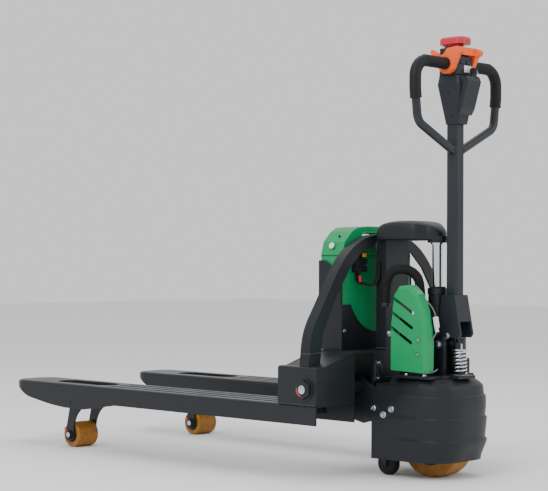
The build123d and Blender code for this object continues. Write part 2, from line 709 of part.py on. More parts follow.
def cover_sketch(shrink):
    """Side outline of the louvred cover."""
    with BuildLine() as edge:
        Polyline(*[(cover_x + a, b) for a, b in cover_points], close=True)
    make_face(edge.edges())
    if shrink:
        offset(amount=-shrink, kind=Kind.INTERSECTION, mode=Mode.REPLACE)


with BuildPart() as side_cover:
    with BuildSketch(Plane.XZ.offset(cover_inner)):
        cover_sketch(0)
    extrude(amount=cover_outer - cover_inner)
    face_edges = side_cover.faces().sort_by(Axis.Y)[0].edges()
    chamfer(face_edges.filter_by(lambda e: e.center().Z > 300), 9)
    with BuildSketch(Plane.XZ.offset(cover_inner - 1)):
        cover_sketch(3)
    extrude(amount=cover_outer - cover_inner - 11, mode=Mode.SUBTRACT)
    with BuildSketch(Plane.XZ.offset(cover_inner - 1)):
        cover_sketch(12)
    extrude(amount=cover_outer - cover_inner - 2, mode=Mode.SUBTRACT)
    block((cover_x + 4, -cover_outer + 4, 285), (cover_x + 127, -cover_inner + 1, 302), Mode.SUBTRACT)
    with BuildSketch(Plane.XZ.offset(cover_outer - 12)):
        for x, z in ((52, 475), (48, 435), (45, 394)):
            with Locations((cover_x + x, z)):
                SlotOverall(88, 9, rotation=-30)
    extrude(amount=14, mode=Mode.SUBTRACT)
    for z in (383, 343):
        bar_y(cover_x + 104, z, 7, -cover_outer - 1, -cover_outer + 1.6, Mode.SUBTRACT)
save(side_cover, "side_cover")

with BuildPart() as cover_screws:
    for z in (383, 343):
        bar_y(cover_x + 104, z, 4.5, -cover_outer - 0.4, -cover_outer + 1.5)
save(cover_screws, "cover_screws")

with BuildPart() as power_pack:
    block((cover_x + 22, -98, base_top), (cover_x + 102, -64, 440))
    fillet(power_pack.edges().filter_by(Axis.Z), 8)
save(power_pack, "power_pack")

with BuildPart() as pump_motor:
    bar_z(steer_x, 74, 35, base_top, 420)
    fillet(pump_motor.edges().group_by(Axis.Z)[-1], 6)
    block((steer_x - 22, 31, base_top), (steer_x + 6, 45, 340))
save(pump_motor, "pump_motor")

hose_radius = 14.0
hose_route = [(heel_x + 22, -78, 470), (heel_x + 22, -76, 540), (heel_x + 62, -62, 580),
              (heel_x + 112, -44.5, 560), (heel_x + 122, -44.5, 480)]
with BuildPart() as power_hose:
    with BuildLine() as wire:
        FilletPolyline(*hose_route, radius=34)
    with BuildSketch(Plane(origin=wire.line @ 0, z_dir=wire.line % 0)):
        Circle(hose_radius)
    sweep(path=wire.line)
save(power_hose, "power_hose")

# ---- tiller ------------------------------------------------------------------------------------
boot_top = 505.0
boot_bottom = 388.0
with BuildPart() as tiller_base:
    with BuildSketch(Plane.XZ.offset(-cheek_outer)):
        with BuildLine():
            Polyline((tube_x - 24, boot_top), (tube_x + 21, boot_top), (tube_x + 42, boot_bottom + 10),
                     (tube_x + 36, boot_bottom), (hinge_x + 10, boot_bottom), (hinge_x + 10, hinge_z - 12),
                     (hinge_x - 8, hinge_z - 12), (hinge_x - 8, hinge_z + 6), close=True)
        make_face()
        with Locations((hinge_x, hinge_z)):
            Circle(13.5)
    extrude(amount=2 * cheek_outer)
    block((hinge_x - 60, -cheek_inner, hinge_z - 40),
          (tube_x + 60, cheek_inner, boot_bottom - 4), Mode.SUBTRACT)
    outline_y([(tube_x - 19, boot_top - 7), (tube_x + 17, boot_top - 7), (tube_x + 38, boot_bottom - 5),
               (hinge_x - 30, boot_bottom - 5), (hinge_x - 1, boot_bottom + 30)],
              -cheek_inner, cheek_inner, Mode.SUBTRACT)
    block((tube_x, -cheek_inner, boot_bottom - 5),
          (tube_x + 60, cheek_inner, boot_bottom + 44), Mode.SUBTRACT)
    half = tube_side / 2 + 0.2
    block((tube_x - half, -half, boot_top - 20), (tube_x + half, half, boot_top + 1), Mode.SUBTRACT)
    bar_y(hinge_x, hinge_z, pivot_radius + running_gap, -50, 50, Mode.SUBTRACT)
save(tiller_base, "tiller_base")

with BuildPart() as tiller_column:
    with BuildSketch(Plane.XY.offset(boot_top - 60)):
        with Locations((tube_x, 0)):
            RectangleRounded(tube_side, tube_side, 6)
            RectangleRounded(tube_side - 5, tube_side - 5, 4, mode=Mode.SUBTRACT)
    extrude(amount=column_top - boot_top + 60)
save(tiller_column, "tiller_column")

head_top = 1185.0
throttle_z = 1140.0
head_sections = [(column_top, 0, 46, 46), (1084, 0, 79, 80), (1110, -4, 69, 66), (head_top, -4, 68, 64)]
head_rear_x = head_x + 30.0
with BuildPart() as tiller_head:
    for z, shift, deep, wide in head_sections:
        with BuildSketch(Plane.XY.offset(z)):
            with Locations((head_x + shift, 0)):
                RectangleRounded(deep, wide, 8)
    loft(ruled=True)
    block((head_x + 15.5, -50, throttle_z + 20), (head_x + 60, 50, head_top + 1), Mode.SUBTRACT)
    for y in (-13, 13):
        block((head_rear_x - 20, y - 11, throttle_z - 1),
              (head_rear_x + 10, y + 11, throttle_z + 9), Mode.SUBTRACT)
    bar_z(head_x - 6, 0, 12.5, head_top - 14, head_top + 1, Mode.SUBTRACT)
save(tiller_head, "tiller_head")

loop_low = [(tube_side / 2, 903), (loop_y - 11, 974)]
loop_high = [(loop_y, 1060), (loop_y, throttle_z)]
loop_bends = {"low": 38.0, "side": 60.0, "top": 46.0}
for name, side in SIDES.items():
    with BuildPart() as handle_loop:
        with BuildLine() as path:
            FilletPolyline(*[(head_x, side * a, b) for a, b in loop_low + loop_high + [(32, throttle_z)]],
                           radius=list(loop_bends.values()))
        with BuildSketch(Plane(origin=path.line @ 0, z_dir=path.line % 0)):
            Circle(loop_tube)
        sweep(path=path.line)
        block((tube_x - 30, -tube_side / 2 - 0.1, 850),
              (tube_x + 40, tube_side / 2 + 0.1, 960), Mode.SUBTRACT)
        block((head_x - 40, -33.2, 1100), (head_x + 40, 33.2, 1180), Mode.SUBTRACT)
    save(handle_loop, f"handle_loop_{name}")

with BuildPart() as handle_grips:
    for side in SIDES.values():
        ends = [(loop_y - 3, 1036)] + loop_high + [(52, throttle_z)]
        with BuildLine() as path:
            FilletPolyline(*[(head_x, side * a, b) for a, b in ends],
                           radius=[loop_bends["side"], loop_bends["top"]])
        with BuildSketch(Plane(origin=path.line @ 0, z_dir=path.line % 0)):
            Circle(grip_radius)
            Circle(loop_tube + running_gap, mode=Mode.SUBTRACT)
        sweep(path=path.line)
save(handle_grips, "handle_grips")

key_x = head_x + 46.0
key_y = 16.0
with BuildPart() as key_switch:
    outline_y([(head_x + 38.5, 1104), (head_x + 56, 1104), (heel_x + tail_reach, 1090), (head_x + 40, 1016),
               (head_x + 30, 1000), (head_x + 30, 1104)], -29, 29)
    fillet(key_switch.edges().filter_by(Axis.Y).group_by(Axis.X)[-1], 4)
    low, high = head_sections[0], head_sections[1]
    rise = (high[2] - low[2]) / 2 / (high[0] - low[0])
    face_x = head_x + low[2] / 2 + 0.2
    outline_y([(face_x - 50, column_top), (face_x, column_top), (face_x + rise * (1084 - column_top), 1084),
               (head_rear_x + 0.7, 1110), (face_x - 50, 1110)], -60, 60, Mode.SUBTRACT)
    bar_z(key_x, key_y, 3 + running_gap, 1090, 1105, Mode.SUBTRACT)
save(key_switch, "key_switch")

with BuildPart() as key:
    bar_z(key_x, key_y, 3, 1091, 1106)
    bar_z(key_x, key_y, 9, 1104.5, 1113)
    block((key_x - 10, key_y - 4, 1113), (key_x + 10, key_y + 4, 1129))
    fillet(key.edges().filter_by(Axis.Y).group_by(Axis.Z)[-1], 3)
save(key, "key")

for name, y in (("lift_button", -13), ("lower_button", 13)):
    with BuildPart() as button:
        block((head_rear_x - 12, y - 10.5, throttle_z - 0.5), (head_rear_x + 2.5, y + 10.5, throttle_z + 8.5))
        fillet(button.edges().filter_by(Axis.X), 2)
    save(button, name)

with BuildPart() as belly_button:
    with BuildSketch(Plane.XY.offset(head_top + 10.5)):
        with Locations((head_x - 5, 0)):
            RectangleRounded(84, 62, 24)
    extrude(amount=20.5)
    fillet(belly_button.faces().sort_by(Axis.Z)[-1].edges(), 9)
    with BuildSketch(Plane.XY.offset(head_top + 6)):
        with Locations((head_x - 12, 0)):
            RectangleRounded(52, 48, 18)
    extrude(amount=4.5)
    bar_z(head_x - 6, 0, 12, head_top - 6, head_top + 6)
save(belly_button, "belly_button")

wing_inner = 33.5
wing_outer = 49.5
bridge_x = head_x + 31.5
with BuildPart() as throttle:
    for low, high in ((wing_inner, wing_outer), (-wing_outer, -wing_inner)):
        bar_y(head_x, throttle_z, 28, low, high)
        outline_y([(head_x - 20, throttle_z + 2), (head_x - 22, throttle_z + 24),
                   (head_x - 50, throttle_z + 42),
                   (head_x - 54, throttle_z + 33), (head_x - 26, throttle_z - 6)], low, high)
        outline_y([(head_x - 20, throttle_z + 10), (head_x + 4, throttle_z + 42),
                   (head_x + 38, throttle_z + 45),
                   (head_x + 54, throttle_z + 38), (head_x + 54, throttle_z + 28),
                   (head_x + 40, throttle_z + 20),
                   (head_x + 27, throttle_z - 6)], low, high)
        bar_y(head_x, throttle_z, loop_tube + running_gap, low - 1, high + 1, Mode.SUBTRACT)
    block((bridge_x, -wing_outer, throttle_z + 24), (bridge_x + 6.5, wing_outer, throttle_z + 45))
save(throttle, "throttle")

# ---- tiller return spring -----------------------------------------------------------------------
with BuildPart() as spring_plunger:
    bar_z(spring_x, 0, 5, spring_top - 20, spring_top)
    bar_z(spring_x, 0, spring_radius + 3, spring_top, spring_top + 4)
    link_y([(spring_x, spring_top + 4), (spring_x, spring_top + 14)], [8, 8], -4, 4)
    block((spring_x - 10, -5, spring_top - 10), (spring_x + 10, 5, spring_top), Mode.SUBTRACT)
    bar_z(spring_x, 0, 5, spring_top - 20, spring_top)
save(spring_plunger, "spring_plunger")

turns = 6
with BuildPart() as return_spring:
    pitch = (spring_top - spring_bottom - 2 * wire_radius - 1) / turns
    with BuildLine() as coil:
        Helix(pitch=pitch, height=pitch * turns, radius=spring_radius,
              center=(spring_x, 0, spring_bottom + wire_radius + 0.5))
    with BuildSketch(Plane(origin=coil.line @ 0, z_dir=coil.line % 0)):
        Circle(wire_radius)
    sweep(path=coil.line, is_frenet=True)
save(return_spring, "return_spring")
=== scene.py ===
"""Looks of an electric walkie pallet jack, built around its fixed CAD frame."""

import json
from math import cos, pi, radians, sin

import bmesh
import bpy
from bpy.props import FloatProperty, FloatVectorProperty, PointerProperty
from bpy.types import Operator, Panel, PropertyGroup
from mathutils import Matrix, Vector


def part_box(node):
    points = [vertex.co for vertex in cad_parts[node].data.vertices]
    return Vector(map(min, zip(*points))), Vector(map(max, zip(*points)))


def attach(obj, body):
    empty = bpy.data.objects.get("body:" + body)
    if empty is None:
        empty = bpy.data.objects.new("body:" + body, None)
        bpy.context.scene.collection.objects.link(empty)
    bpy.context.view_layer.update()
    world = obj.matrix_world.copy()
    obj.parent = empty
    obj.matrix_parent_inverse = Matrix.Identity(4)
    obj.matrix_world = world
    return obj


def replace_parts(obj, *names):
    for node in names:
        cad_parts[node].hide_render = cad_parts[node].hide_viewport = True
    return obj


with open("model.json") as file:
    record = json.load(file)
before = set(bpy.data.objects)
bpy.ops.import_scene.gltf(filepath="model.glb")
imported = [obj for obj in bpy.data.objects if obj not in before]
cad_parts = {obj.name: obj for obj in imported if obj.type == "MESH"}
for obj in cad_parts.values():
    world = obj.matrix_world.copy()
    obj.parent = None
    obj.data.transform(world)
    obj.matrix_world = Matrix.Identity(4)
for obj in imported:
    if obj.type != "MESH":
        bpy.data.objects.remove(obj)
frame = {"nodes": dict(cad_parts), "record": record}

bl_info = {
    "name": "Pallet jack finishes",
    "version": (1, 0, 0),
    "blender": (4, 5, 0),
    "location": "View3D > Sidebar > Pallet Jack",
    "description": "Adds the finishes and small fittings of a walkie pallet jack to its CAD frame",
    "category": "Object",
}

MM = 0.001
SIDES = {"left": -1, "right": 1}


def mm(x, y, z):
    """A point or step given in millimetres."""
    return Vector((x * MM, y * MM, z * MM))


def centre(node):
    """Middle of a CAD node's box."""
    low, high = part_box(node)
    return (Vector(low) + Vector(high)) / 2


HEEL_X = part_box("fork_left")[1][0]
STEER = centre("drive_tyre")
FORK_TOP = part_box("fork_left")[1][2]
FORK_Y = centre("fork_right").y
HEAD = centre("tiller_head")
HEAD_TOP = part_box("tiller_head")[1][2]


# ---- materials ---------------------------------------------------------------------------------
def new_group(name, inputs, outputs):
    """An empty shader node group with its sockets made."""
    group = bpy.data.node_groups.new(name, "ShaderNodeTree")
    for label, kind, value in inputs:
        socket = group.interface.new_socket(name=label, in_out="INPUT", socket_type=kind)
        socket.default_value = value
    for label, kind in outputs:
        group.interface.new_socket(name=label, in_out="OUTPUT", socket_type=kind)
    entry = group.nodes.new("NodeGroupInput")
    leave = group.nodes.new("NodeGroupOutput")
    return group, entry, leave


def maths(nodes, links, operation, first, second):
    """A Math node fed by sockets or plain numbers."""
    node = nodes.new("ShaderNodeMath")
    node.operation = operation
    for socket, value in zip(node.inputs, (first, second)):
        if isinstance(value, (int, float)):
            socket.default_value = value
        else:
            links.new(value, socket)
    return node.outputs[0]


def noise(nodes, links, place, scale, detail=3.0, rough=0.6):
    """A noise texture read at the given place."""
    node = nodes.new("ShaderNodeTexNoise")
    node.inputs["Detail"].default_value = detail
    node.inputs["Roughness"].default_value = rough
    links.new(place, node.inputs["Vector"])
    if isinstance(scale, (int, float)):
        node.inputs["Scale"].default_value = scale
    else:
        links.new(scale, node.inputs["Scale"])
    return node.outputs["Fac"]


def ramp(nodes, links, source, low, high):
    """Spreads low..high of a value over 0..1."""
    node = nodes.new("ShaderNodeMapRange")
    node.inputs["From Min"].default_value = low
    node.inputs["From Max"].default_value = high
    links.new(source, node.inputs["Value"])
    return node.outputs["Result"]


def mix_colour(nodes, links, factor, first, second):
    """A colour mix of two sockets by a factor socket."""
    node = nodes.new("ShaderNodeMix")
    node.data_type = "RGBA"
    links.new(factor, node.inputs["Factor"])
    links.new(first, node.inputs["A"])
    links.new(second, node.inputs["B"])
    return node.outputs["Result"]


def build_grain_group():
    """Fine grain of a coat or moulding: a second tone, uneven gloss and a height."""
    group, entry, leave = new_group(
        "surface_grain",
        [("Tone", "NodeSocketColor", (0.1, 0.1, 0.1, 1)),
         ("Second Tone", "NodeSocketColor", (0.2, 0.2, 0.2, 1)),
         ("Scale", "NodeSocketFloat", 400.0), ("Mottle", "NodeSocketFloat", 0.3),
         ("Gloss Low", "NodeSocketFloat", 0.35), ("Gloss High", "NodeSocketFloat", 0.5)],
        [("Tone", "NodeSocketColor"), ("Roughness", "NodeSocketFloat"), ("Height", "NodeSocketFloat")])
    nodes, links = group.nodes, group.links
    place = nodes.new("ShaderNodeTexCoord").outputs["Object"]
    fine = noise(nodes, links, place, entry.outputs["Scale"], 2.0, 0.5)
    broad = noise(nodes, links, place, 9.0, 4.0, 0.6)
    speck = ramp(nodes, links, fine, 0.42, 0.7)
    cloud = ramp(nodes, links, broad, 0.35, 0.7)
    both = maths(nodes, links, "ADD", maths(nodes, links, "MULTIPLY", speck, 0.6),
                 maths(nodes, links, "MULTIPLY", cloud, 0.4))
    amount = maths(nodes, links, "MULTIPLY", both, entry.outputs["Mottle"])
    links.new(mix_colour(nodes, links, amount, entry.outputs["Tone"], entry.outputs["Second Tone"]),
              leave.inputs["Tone"])
    gloss = nodes.new("ShaderNodeMapRange")
    links.new(broad, gloss.inputs["Value"])
    gloss.inputs["From Min"].default_value = 0.3
    gloss.inputs["From Max"].default_value = 0.7
    links.new(entry.outputs["Gloss Low"], gloss.inputs["To Min"])
    links.new(entry.outputs["Gloss High"], gloss.inputs["To Max"])
    links.new(gloss.outputs["Result"], leave.inputs["Roughness"])
    links.new(fine, leave.inputs["Height"])
    return group


def build_dust_group():
    """Dust on faces that look up, and scuffs near the floor."""
    group, entry, leave = new_group(
        "dust_and_scuffs",
        [("Tone", "NodeSocketColor", (0.1, 0.1, 0.1, 1)), ("Dust", "NodeSocketColor", (0.3, 0.29, 0.27, 1)),
         ("Roughness", "NodeSocketFloat", 0.4), ("Dust Amount", "NodeSocketFloat", 0.15),
         ("Scuff Amount", "NodeSocketFloat", 0.2)],
        [("Tone", "NodeSocketColor"), ("Roughness", "NodeSocketFloat")])
    nodes, links = group.nodes, group.links
    place = nodes.new("ShaderNodeTexCoord").outputs["Object"]
    facing = nodes.new("ShaderNodeSeparateXYZ")
    links.new(nodes.new("ShaderNodeNewGeometry").outputs["Normal"], facing.inputs[0])
    up = ramp(nodes, links, facing.outputs["Z"], 0.5, 1.0)
    patches = ramp(nodes, links, noise(nodes, links, place, 22.0, 5.0, 0.65), 0.4, 0.75)
    dust = maths(nodes, links, "MULTIPLY", maths(nodes, links, "MULTIPLY", up, patches),
                 entry.outputs["Dust Amount"])
    stretched = nodes.new("ShaderNodeMapping")
    stretched.inputs["Scale"].default_value = (6.0, 40.0, 60.0)
    links.new(place, stretched.inputs["Vector"])
    lines = ramp(nodes, links, noise(nodes, links, stretched.outputs[0], 4.0, 6.0, 0.7), 0.62, 0.72)
    scuff = maths(nodes, links, "MULTIPLY", lines, entry.outputs["Scuff Amount"])
    total = maths(nodes, links, "MAXIMUM", dust, scuff)
    links.new(mix_colour(nodes, links, total, entry.outputs["Tone"], entry.outputs["Dust"]),
              leave.inputs["Tone"])
    rougher = maths(nodes, links, "MULTIPLY", total, 0.35)
    links.new(maths(nodes, links, "ADD", entry.outputs["Roughness"], rougher), leave.inputs["Roughness"])
    return group


class Finish:
    """Values of one finish, placed into the two shared groups."""

    def __init__(self, tone, second, gloss, scale=420.0, mottle=0.35, bump=0.12, metal=0.0, coat=0.0,
                 dust=0.06, scuff=0.04, shine=0.5):
        self.tone, self.second, self.gloss, self.scale = tone, second, gloss, scale
        self.mottle, self.bump, self.metal, self.coat = mottle, bump, metal, coat
        self.dust, self.scuff, self.shine = dust, scuff, shine


FINISHES = {
    "frame_paint": Finish((0.009, 0.011, 0.014), (0.022, 0.026, 0.031), (0.3, 0.42), bump=0.05, shine=0.3),
    "shroud_plastic": Finish((0.009, 0.011, 0.014), (0.02, 0.024, 0.029), (0.38, 0.5), 700.0, bump=0.1,
                             shine=0.3),
    "tiller_paint": Finish((0.013, 0.017, 0.022), (0.028, 0.034, 0.041), (0.3, 0.4), bump=0.06, shine=0.35),
    "tiller_plastic": Finish((0.012, 0.016, 0.021), (0.025, 0.031, 0.038), (0.38, 0.48), 750.0, bump=0.1,
                             shine=0.32),
    "green_plastic": Finish((0.003, 0.26, 0.085), (0.006, 0.32, 0.11), (0.26, 0.36), 600.0, 0.4, 0.04,
                            shine=0.3),
    "orange_plastic": Finish((0.9, 0.12, 0.02), (0.95, 0.17, 0.04), (0.4, 0.5), 600.0, 0.4, 0.06,
                             shine=0.3),
    "red_plastic": Finish((0.5, 0.02, 0.04), (0.6, 0.05, 0.07), (0.28, 0.4), 500.0, 0.4, 0.05, shine=0.35),
    "roller_urethane": Finish((0.36, 0.15, 0.008), (0.12, 0.045, 0.006), (0.35, 0.5), 130.0, 0.9, 0.1,
                              dust=0.0,
                              scuff=0.35, shine=0.35),
    "black_rubber": Finish((0.006, 0.007, 0.009), (0.014, 0.016, 0.019), (0.5, 0.62), 900.0, bump=0.2,
                           shine=0.25),
    "zinc_steel": Finish((0.5, 0.57, 0.68), (0.68, 0.71, 0.75), (0.2, 0.36), 300.0, 0.5, 0.03, 1.0,
                         dust=0.05),
    "chrome_rod": Finish((0.74, 0.76, 0.8), (0.84, 0.85, 0.87), (0.06, 0.14), 200.0, 0.4, 0.01, 1.0,
                         dust=0.02),
    "black_steel": Finish((0.007, 0.008, 0.01), (0.018, 0.02, 0.023), (0.35, 0.5), 380.0, bump=0.1,
                          shine=0.35),
    "cast_hub": Finish((0.02, 0.021, 0.024), (0.045, 0.047, 0.05), (0.5, 0.65), 240.0, 0.5, 0.25,
                       metal=0.3),
    "black_sleeve": Finish((0.009, 0.009, 0.01), (0.03, 0.028, 0.027), (0.65, 0.8), 1200.0, 0.6, 0.6,
                           shine=0.2),
    "spring_steel": Finish((0.6, 0.63, 0.68), (0.75, 0.77, 0.8), (0.12, 0.24), 300.0, 0.4, 0.02, 1.0,
                           dust=0.03),
    "weld_metal": Finish((0.012, 0.014, 0.017), (0.03, 0.034, 0.038), (0.34, 0.46), 500.0, 0.5, 0.3,
                         shine=0.4),
    "white_plastic": Finish((0.72, 0.73, 0.72), (0.6, 0.61, 0.6), (0.35, 0.5), 500.0, 0.3, 0.04),
    "grey_cable": Finish((0.1, 0.105, 0.11), (0.17, 0.175, 0.18), (0.4, 0.5), 700.0, 0.3, 0.05),
    "paint_mark": Finish((0.5, 0.05, 0.03), (0.3, 0.03, 0.02), (0.5, 0.65), 260.0, 0.6, 0.1),
    "label_film": Finish((0.75, 0.76, 0.77), (0.66, 0.67, 0.68), (0.25, 0.35), 300.0, 0.25, 0.01, coat=0.3),
    "amber_latch": Finish((0.75, 0.33, 0.02), (0.8, 0.42, 0.06), (0.35, 0.45), 400.0, 0.3, 0.05),
    # Painted shade: a near-black finish laid over slots, seams and screw recesses to stand in for the shade
    # inside them.
    "painted_recess_shade": Finish((0.003, 0.0035, 0.004), (0.006, 0.007, 0.008), (0.7, 0.8), 400.0, 0.3, 0.05,
                          shine=0.1),
}


def build_material(name, finish, grain, dust):
    """One Principled material whose colour and gloss come through the shared groups."""
    material = bpy.data.materials.new(f"jack_{name}")
    material.use_nodes = True
    nodes, links = material.node_tree.nodes, material.node_tree.links
    shader = nodes["Principled BSDF"]
    texture = nodes.new("ShaderNodeGroup")
    texture.node_tree = grain
    for label, value in (("Tone", (*finish.tone, 1)), ("Second Tone", (*finish.second, 1)),
                         ("Scale", finish.scale), ("Mottle", finish.mottle),
                         ("Gloss Low", finish.gloss[0]), ("Gloss High", finish.gloss[1])):
        texture.inputs[label].default_value = value
    worn = nodes.new("ShaderNodeGroup")
    worn.node_tree = dust
    worn.inputs["Dust Amount"].default_value = finish.dust
    worn.inputs["Scuff Amount"].default_value = finish.scuff
    worn.inputs["Dust"].default_value = (0.28, 0.28, 0.27, 1) if not finish.metal else (0.2, 0.2, 0.2, 1)
    links.new(texture.outputs["Tone"], worn.inputs["Tone"])
    links.new(texture.outputs["Roughness"], worn.inputs["Roughness"])
    links.new(worn.outputs["Tone"], shader.inputs["Base Color"])
    links.new(worn.outputs["Roughness"], shader.inputs["Roughness"])
    bump = nodes.new("ShaderNodeBump")
    bump.inputs["Strength"].default_value = finish.bump
    bump.inputs["Distance"].default_value = 0.0006
    links.new(texture.outputs["Height"], bump.inputs["Height"])
    links.new(bump.outputs["Normal"], shader.inputs["Normal"])
    shader.inputs["Metallic"].default_value = finish.metal
    shader.inputs["Specular IOR Level"].default_value = finish.shine
    shader.inputs["Coat Weight"].default_value = finish.coat
    shader.inputs["Coat Roughness"].default_value = 0.25
    return material


def material_of(name):
    """A finished material by its short name."""
    return bpy.data.materials[f"jack_{name}"]


# ---- shaping helpers ---------------------------------------------------------------------------
def turn_to(axis):
    """Rotation that takes +Z to the axis."""
    return Vector((0, 0, 1)).rotation_difference(Vector(axis)).to_matrix().to_4x4()


def add_box(bm, low, high, bevel=0.0, turn=None):
    """A block between two corners, with bevelled edges, turned about its middle."""
    low, high = Vector(low), Vector(high)
    size = high - low
    place = Matrix.Translation((low + high) / 2) @ (turn or Matrix()) @ Matrix.Diagonal((*size, 1))
    made = bmesh.ops.create_cube(bm, size=1, matrix=place)["verts"]
    if bevel:
        edges = list({edge for vert in made for edge in vert.link_edges})
        bmesh.ops.bevel(bm, geom=edges, offset=bevel, affect="EDGES", segments=2, profile=0.5, material=-1)


def add_rod(bm, start, end, radius, bevel=0.0, sides=32, tip=None):
    """A round bar, or a cone when tip is given, between two points."""
    start, end = Vector(start), Vector(end)
    place = Matrix.Translation((start + end) / 2) @ turn_to(end - start)
    made = bmesh.ops.create_cone(bm, cap_ends=True, segments=sides, radius1=radius,
                                 radius2=radius if tip is None else tip,
                                 depth=(end - start).length, matrix=place)["verts"]
    if bevel:
        rims = [edge for edge in {e for v in made for e in v.link_edges}
                if any(len(face.verts) == sides for face in edge.link_faces)]
        bmesh.ops.bevel(bm, geom=rims, offset=bevel, affect="EDGES", segments=2, profile=0.5, material=-1)


def add_ring(bm, middle, axis, major, minor, sides=12, steps=40, flat=1.0):
    """A round or flattened ring about an axis."""
    start = bmesh.ops.create_circle(bm, radius=minor, segments=sides, matrix=(
        Matrix.Translation((major, 0, 0)) @ Matrix.Rotation(pi / 2, 4,
                                                            "X") @ Matrix.Diagonal((1, flat, 1, 1))))
    edges = list({edge for vert in start["verts"] for edge in vert.link_edges})
    before = {vert for vert in bm.verts if vert not in start["verts"]}
    bmesh.ops.spin(bm, geom=edges, cent=(0, 0, 0), axis=(0, 0, 1), angle=2 * pi, steps=steps,
                   use_merge=True)
    made = [vert for vert in bm.verts if vert not in before]
    bmesh.ops.transform(bm, matrix=Matrix.Translation(Vector(middle)) @ turn_to(axis), verts=made)


def smooth_path(points, steps):
    """Points on a smooth curve through the given ones."""
    points = [Vector(p) for p in points]
    ends = [2 * points[0] - points[1]] + points + [2 * points[-1] - points[-2]]
    path = []
    for index in range(1, len(ends) - 2):
        a, b, c, d = ends[index - 1:index + 3]
        for step in range(steps):
            t = step / steps
            path.append(0.5 * (2 * b + (c - a) * t + (2 * a - 5 * b + 4 * c - d) * t * t
                               + (3 * b - a - 3 * c + d) * t ** 3))
    return path + [points[-1]]


def add_sweep(bm, path, radius, sides=12):
    """A closed tube along a path; radius is a number or a function of the point's index."""
    size = radius if callable(radius) else (lambda index: radius)
    places = []
    turn = turn_to(path[1] - path[0]).to_3x3()
    heading = (path[1] - path[0]).normalized()
    for index, point in enumerate(path):
        ahead = path[min(index + 1, len(path) - 1)] - path[max(index - 1, 0)]
        new_heading = ahead.normalized()
        turn = heading.rotation_difference(new_heading).to_matrix() @ turn
        heading = new_heading
        scale = Matrix.Diagonal((size(index),) * 3)
        places.append(Matrix.Translation(point) @ (turn @ scale).to_4x4())
    made = bmesh.ops.create_circle(bm, cap_ends=True, segments=sides, radius=1, matrix=places[0])["verts"]
    face = made[0].link_faces[0]
    for index in range(1, len(places)):
        grown = bmesh.ops.extrude_face_region(bm, geom=[face])["geom"]
        face = next(item for item in grown if isinstance(item, bmesh.types.BMFace))
        verts = [item for item in grown if isinstance(item, bmesh.types.BMVert)]
        bmesh.ops.transform(bm, matrix=places[index] @ places[index - 1].inverted(), verts=verts)


def add_hexagon(bm, start, end, across, bevel=0.0006):
    """A nut or bolt head: a six-sided bar with eased corners."""
    add_rod(bm, start, end, across / 2 / cos(pi / 6), bevel, sides=6)


def add_bead(bm, path, radius, pitch=0.004):
    """A weld bead: a tube that swells at each stitch."""
    length = sum((b - a).length for a, b in zip(path, path[1:]))
    stitches = max(2, int(length / pitch))
    steps = stitches * 3
    spaced = []
    for step in range(steps + 1):
        goal = length * step / steps
        for a, b in zip(path, path[1:]):
            span = (b - a).length
            if goal <= span or b is path[-1]:
                spaced.append(a.lerp(b, min(goal / span, 1.0) if span else 0.0))
                break
            goal -= span
    add_sweep(bm, spaced, lambda index: radius * (1.0 if index % 3 else 0.82), sides=8)


def make_piece(name, bm, body, slot, finish=None, sharp=35.0):
    """Turns a bmesh into a finished piece that rides on a body."""
    bmesh.ops.recalc_face_normals(bm, faces=bm.faces)
    mesh = bpy.data.meshes.new(name)
    bm.to_mesh(mesh)
    bm.free()
    mesh.shade_smooth()
    mesh.set_sharp_from_angle(angle=radians(sharp))
    piece = bpy.data.objects.new(name, mesh)
    bpy.context.scene.collection.objects.link(piece)
    mesh.materials.append(material_of(finish or slot))
    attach(piece, body)
    return piece


# ---- sizes a user may change -------------------------------------------------------------------
class JackSizes(PropertyGroup):
    """Sizes of the small fittings."""

    rib_depth: FloatProperty(name="Rib depth", description="How far each rib of the shroud stands out",
                             default=5 * MM, min=0.0, unit="LENGTH")
    bead_radius: FloatProperty(name="Weld radius", description="Radius of the weld beads",
                               default=3 * MM, min=1 * MM, unit="LENGTH")
    sleeve_pitch: FloatProperty(name="Sleeve pitch",
                                description="Distance between the rings of the hose sleeve",
                                default=4.2 * MM, min=2 * MM, unit="LENGTH")
    lead_radius: FloatProperty(name="Lead radius", description="Radius of the signal lead",
                               default=2.2 * MM, min=1 * MM, unit="LENGTH")


class JackStage(PropertyGroup):
    """Light and floor values."""

    key_power: FloatProperty(name="Key light", description="Power of the large key light",
                             default=110.0, min=0.0)
    fill_power: FloatProperty(name="Fill light", description="Power of the fill light",
                              default=45.0, min=0.0)
    floor_tone: FloatVectorProperty(name="Floor tone", description="Colour of the floor",
                                    default=(0.86, 0.86, 0.86), subtype="COLOR", min=0.0, max=1.0)


# ---- operators ---------------------------------------------------------------------------------
class JACK_OT_finishes(Operator):
    """Build the finishes and give one to each CAD node."""

    bl_idname = "jack.finishes"
    bl_label = "Finishes"

    def execute(self, context):
        grain, dust = build_grain_group(), build_dust_group()
        for name, finish in FINISHES.items():
            build_material(name, finish, grain, dust)
        for entry in frame["record"]["subparts"]:
            node = frame["nodes"][entry["node"]]
            node.data.materials[0] = material_of(entry["material_slot"])
        return {"FINISHED"}


SHROUD_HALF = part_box("drive_shroud")[1][1]
SHROUD_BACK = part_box("drive_shroud")[1][0]
SHROUD_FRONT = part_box("drive_shroud")[0][0]
SHROUD_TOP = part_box("drive_shroud")[1][2]
SHROUD_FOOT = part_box("drive_shroud")[0][2]
ROUND_X = SHROUD_BACK - 112 * MM
CRESTS = (0.226, 0.166, 0.106)


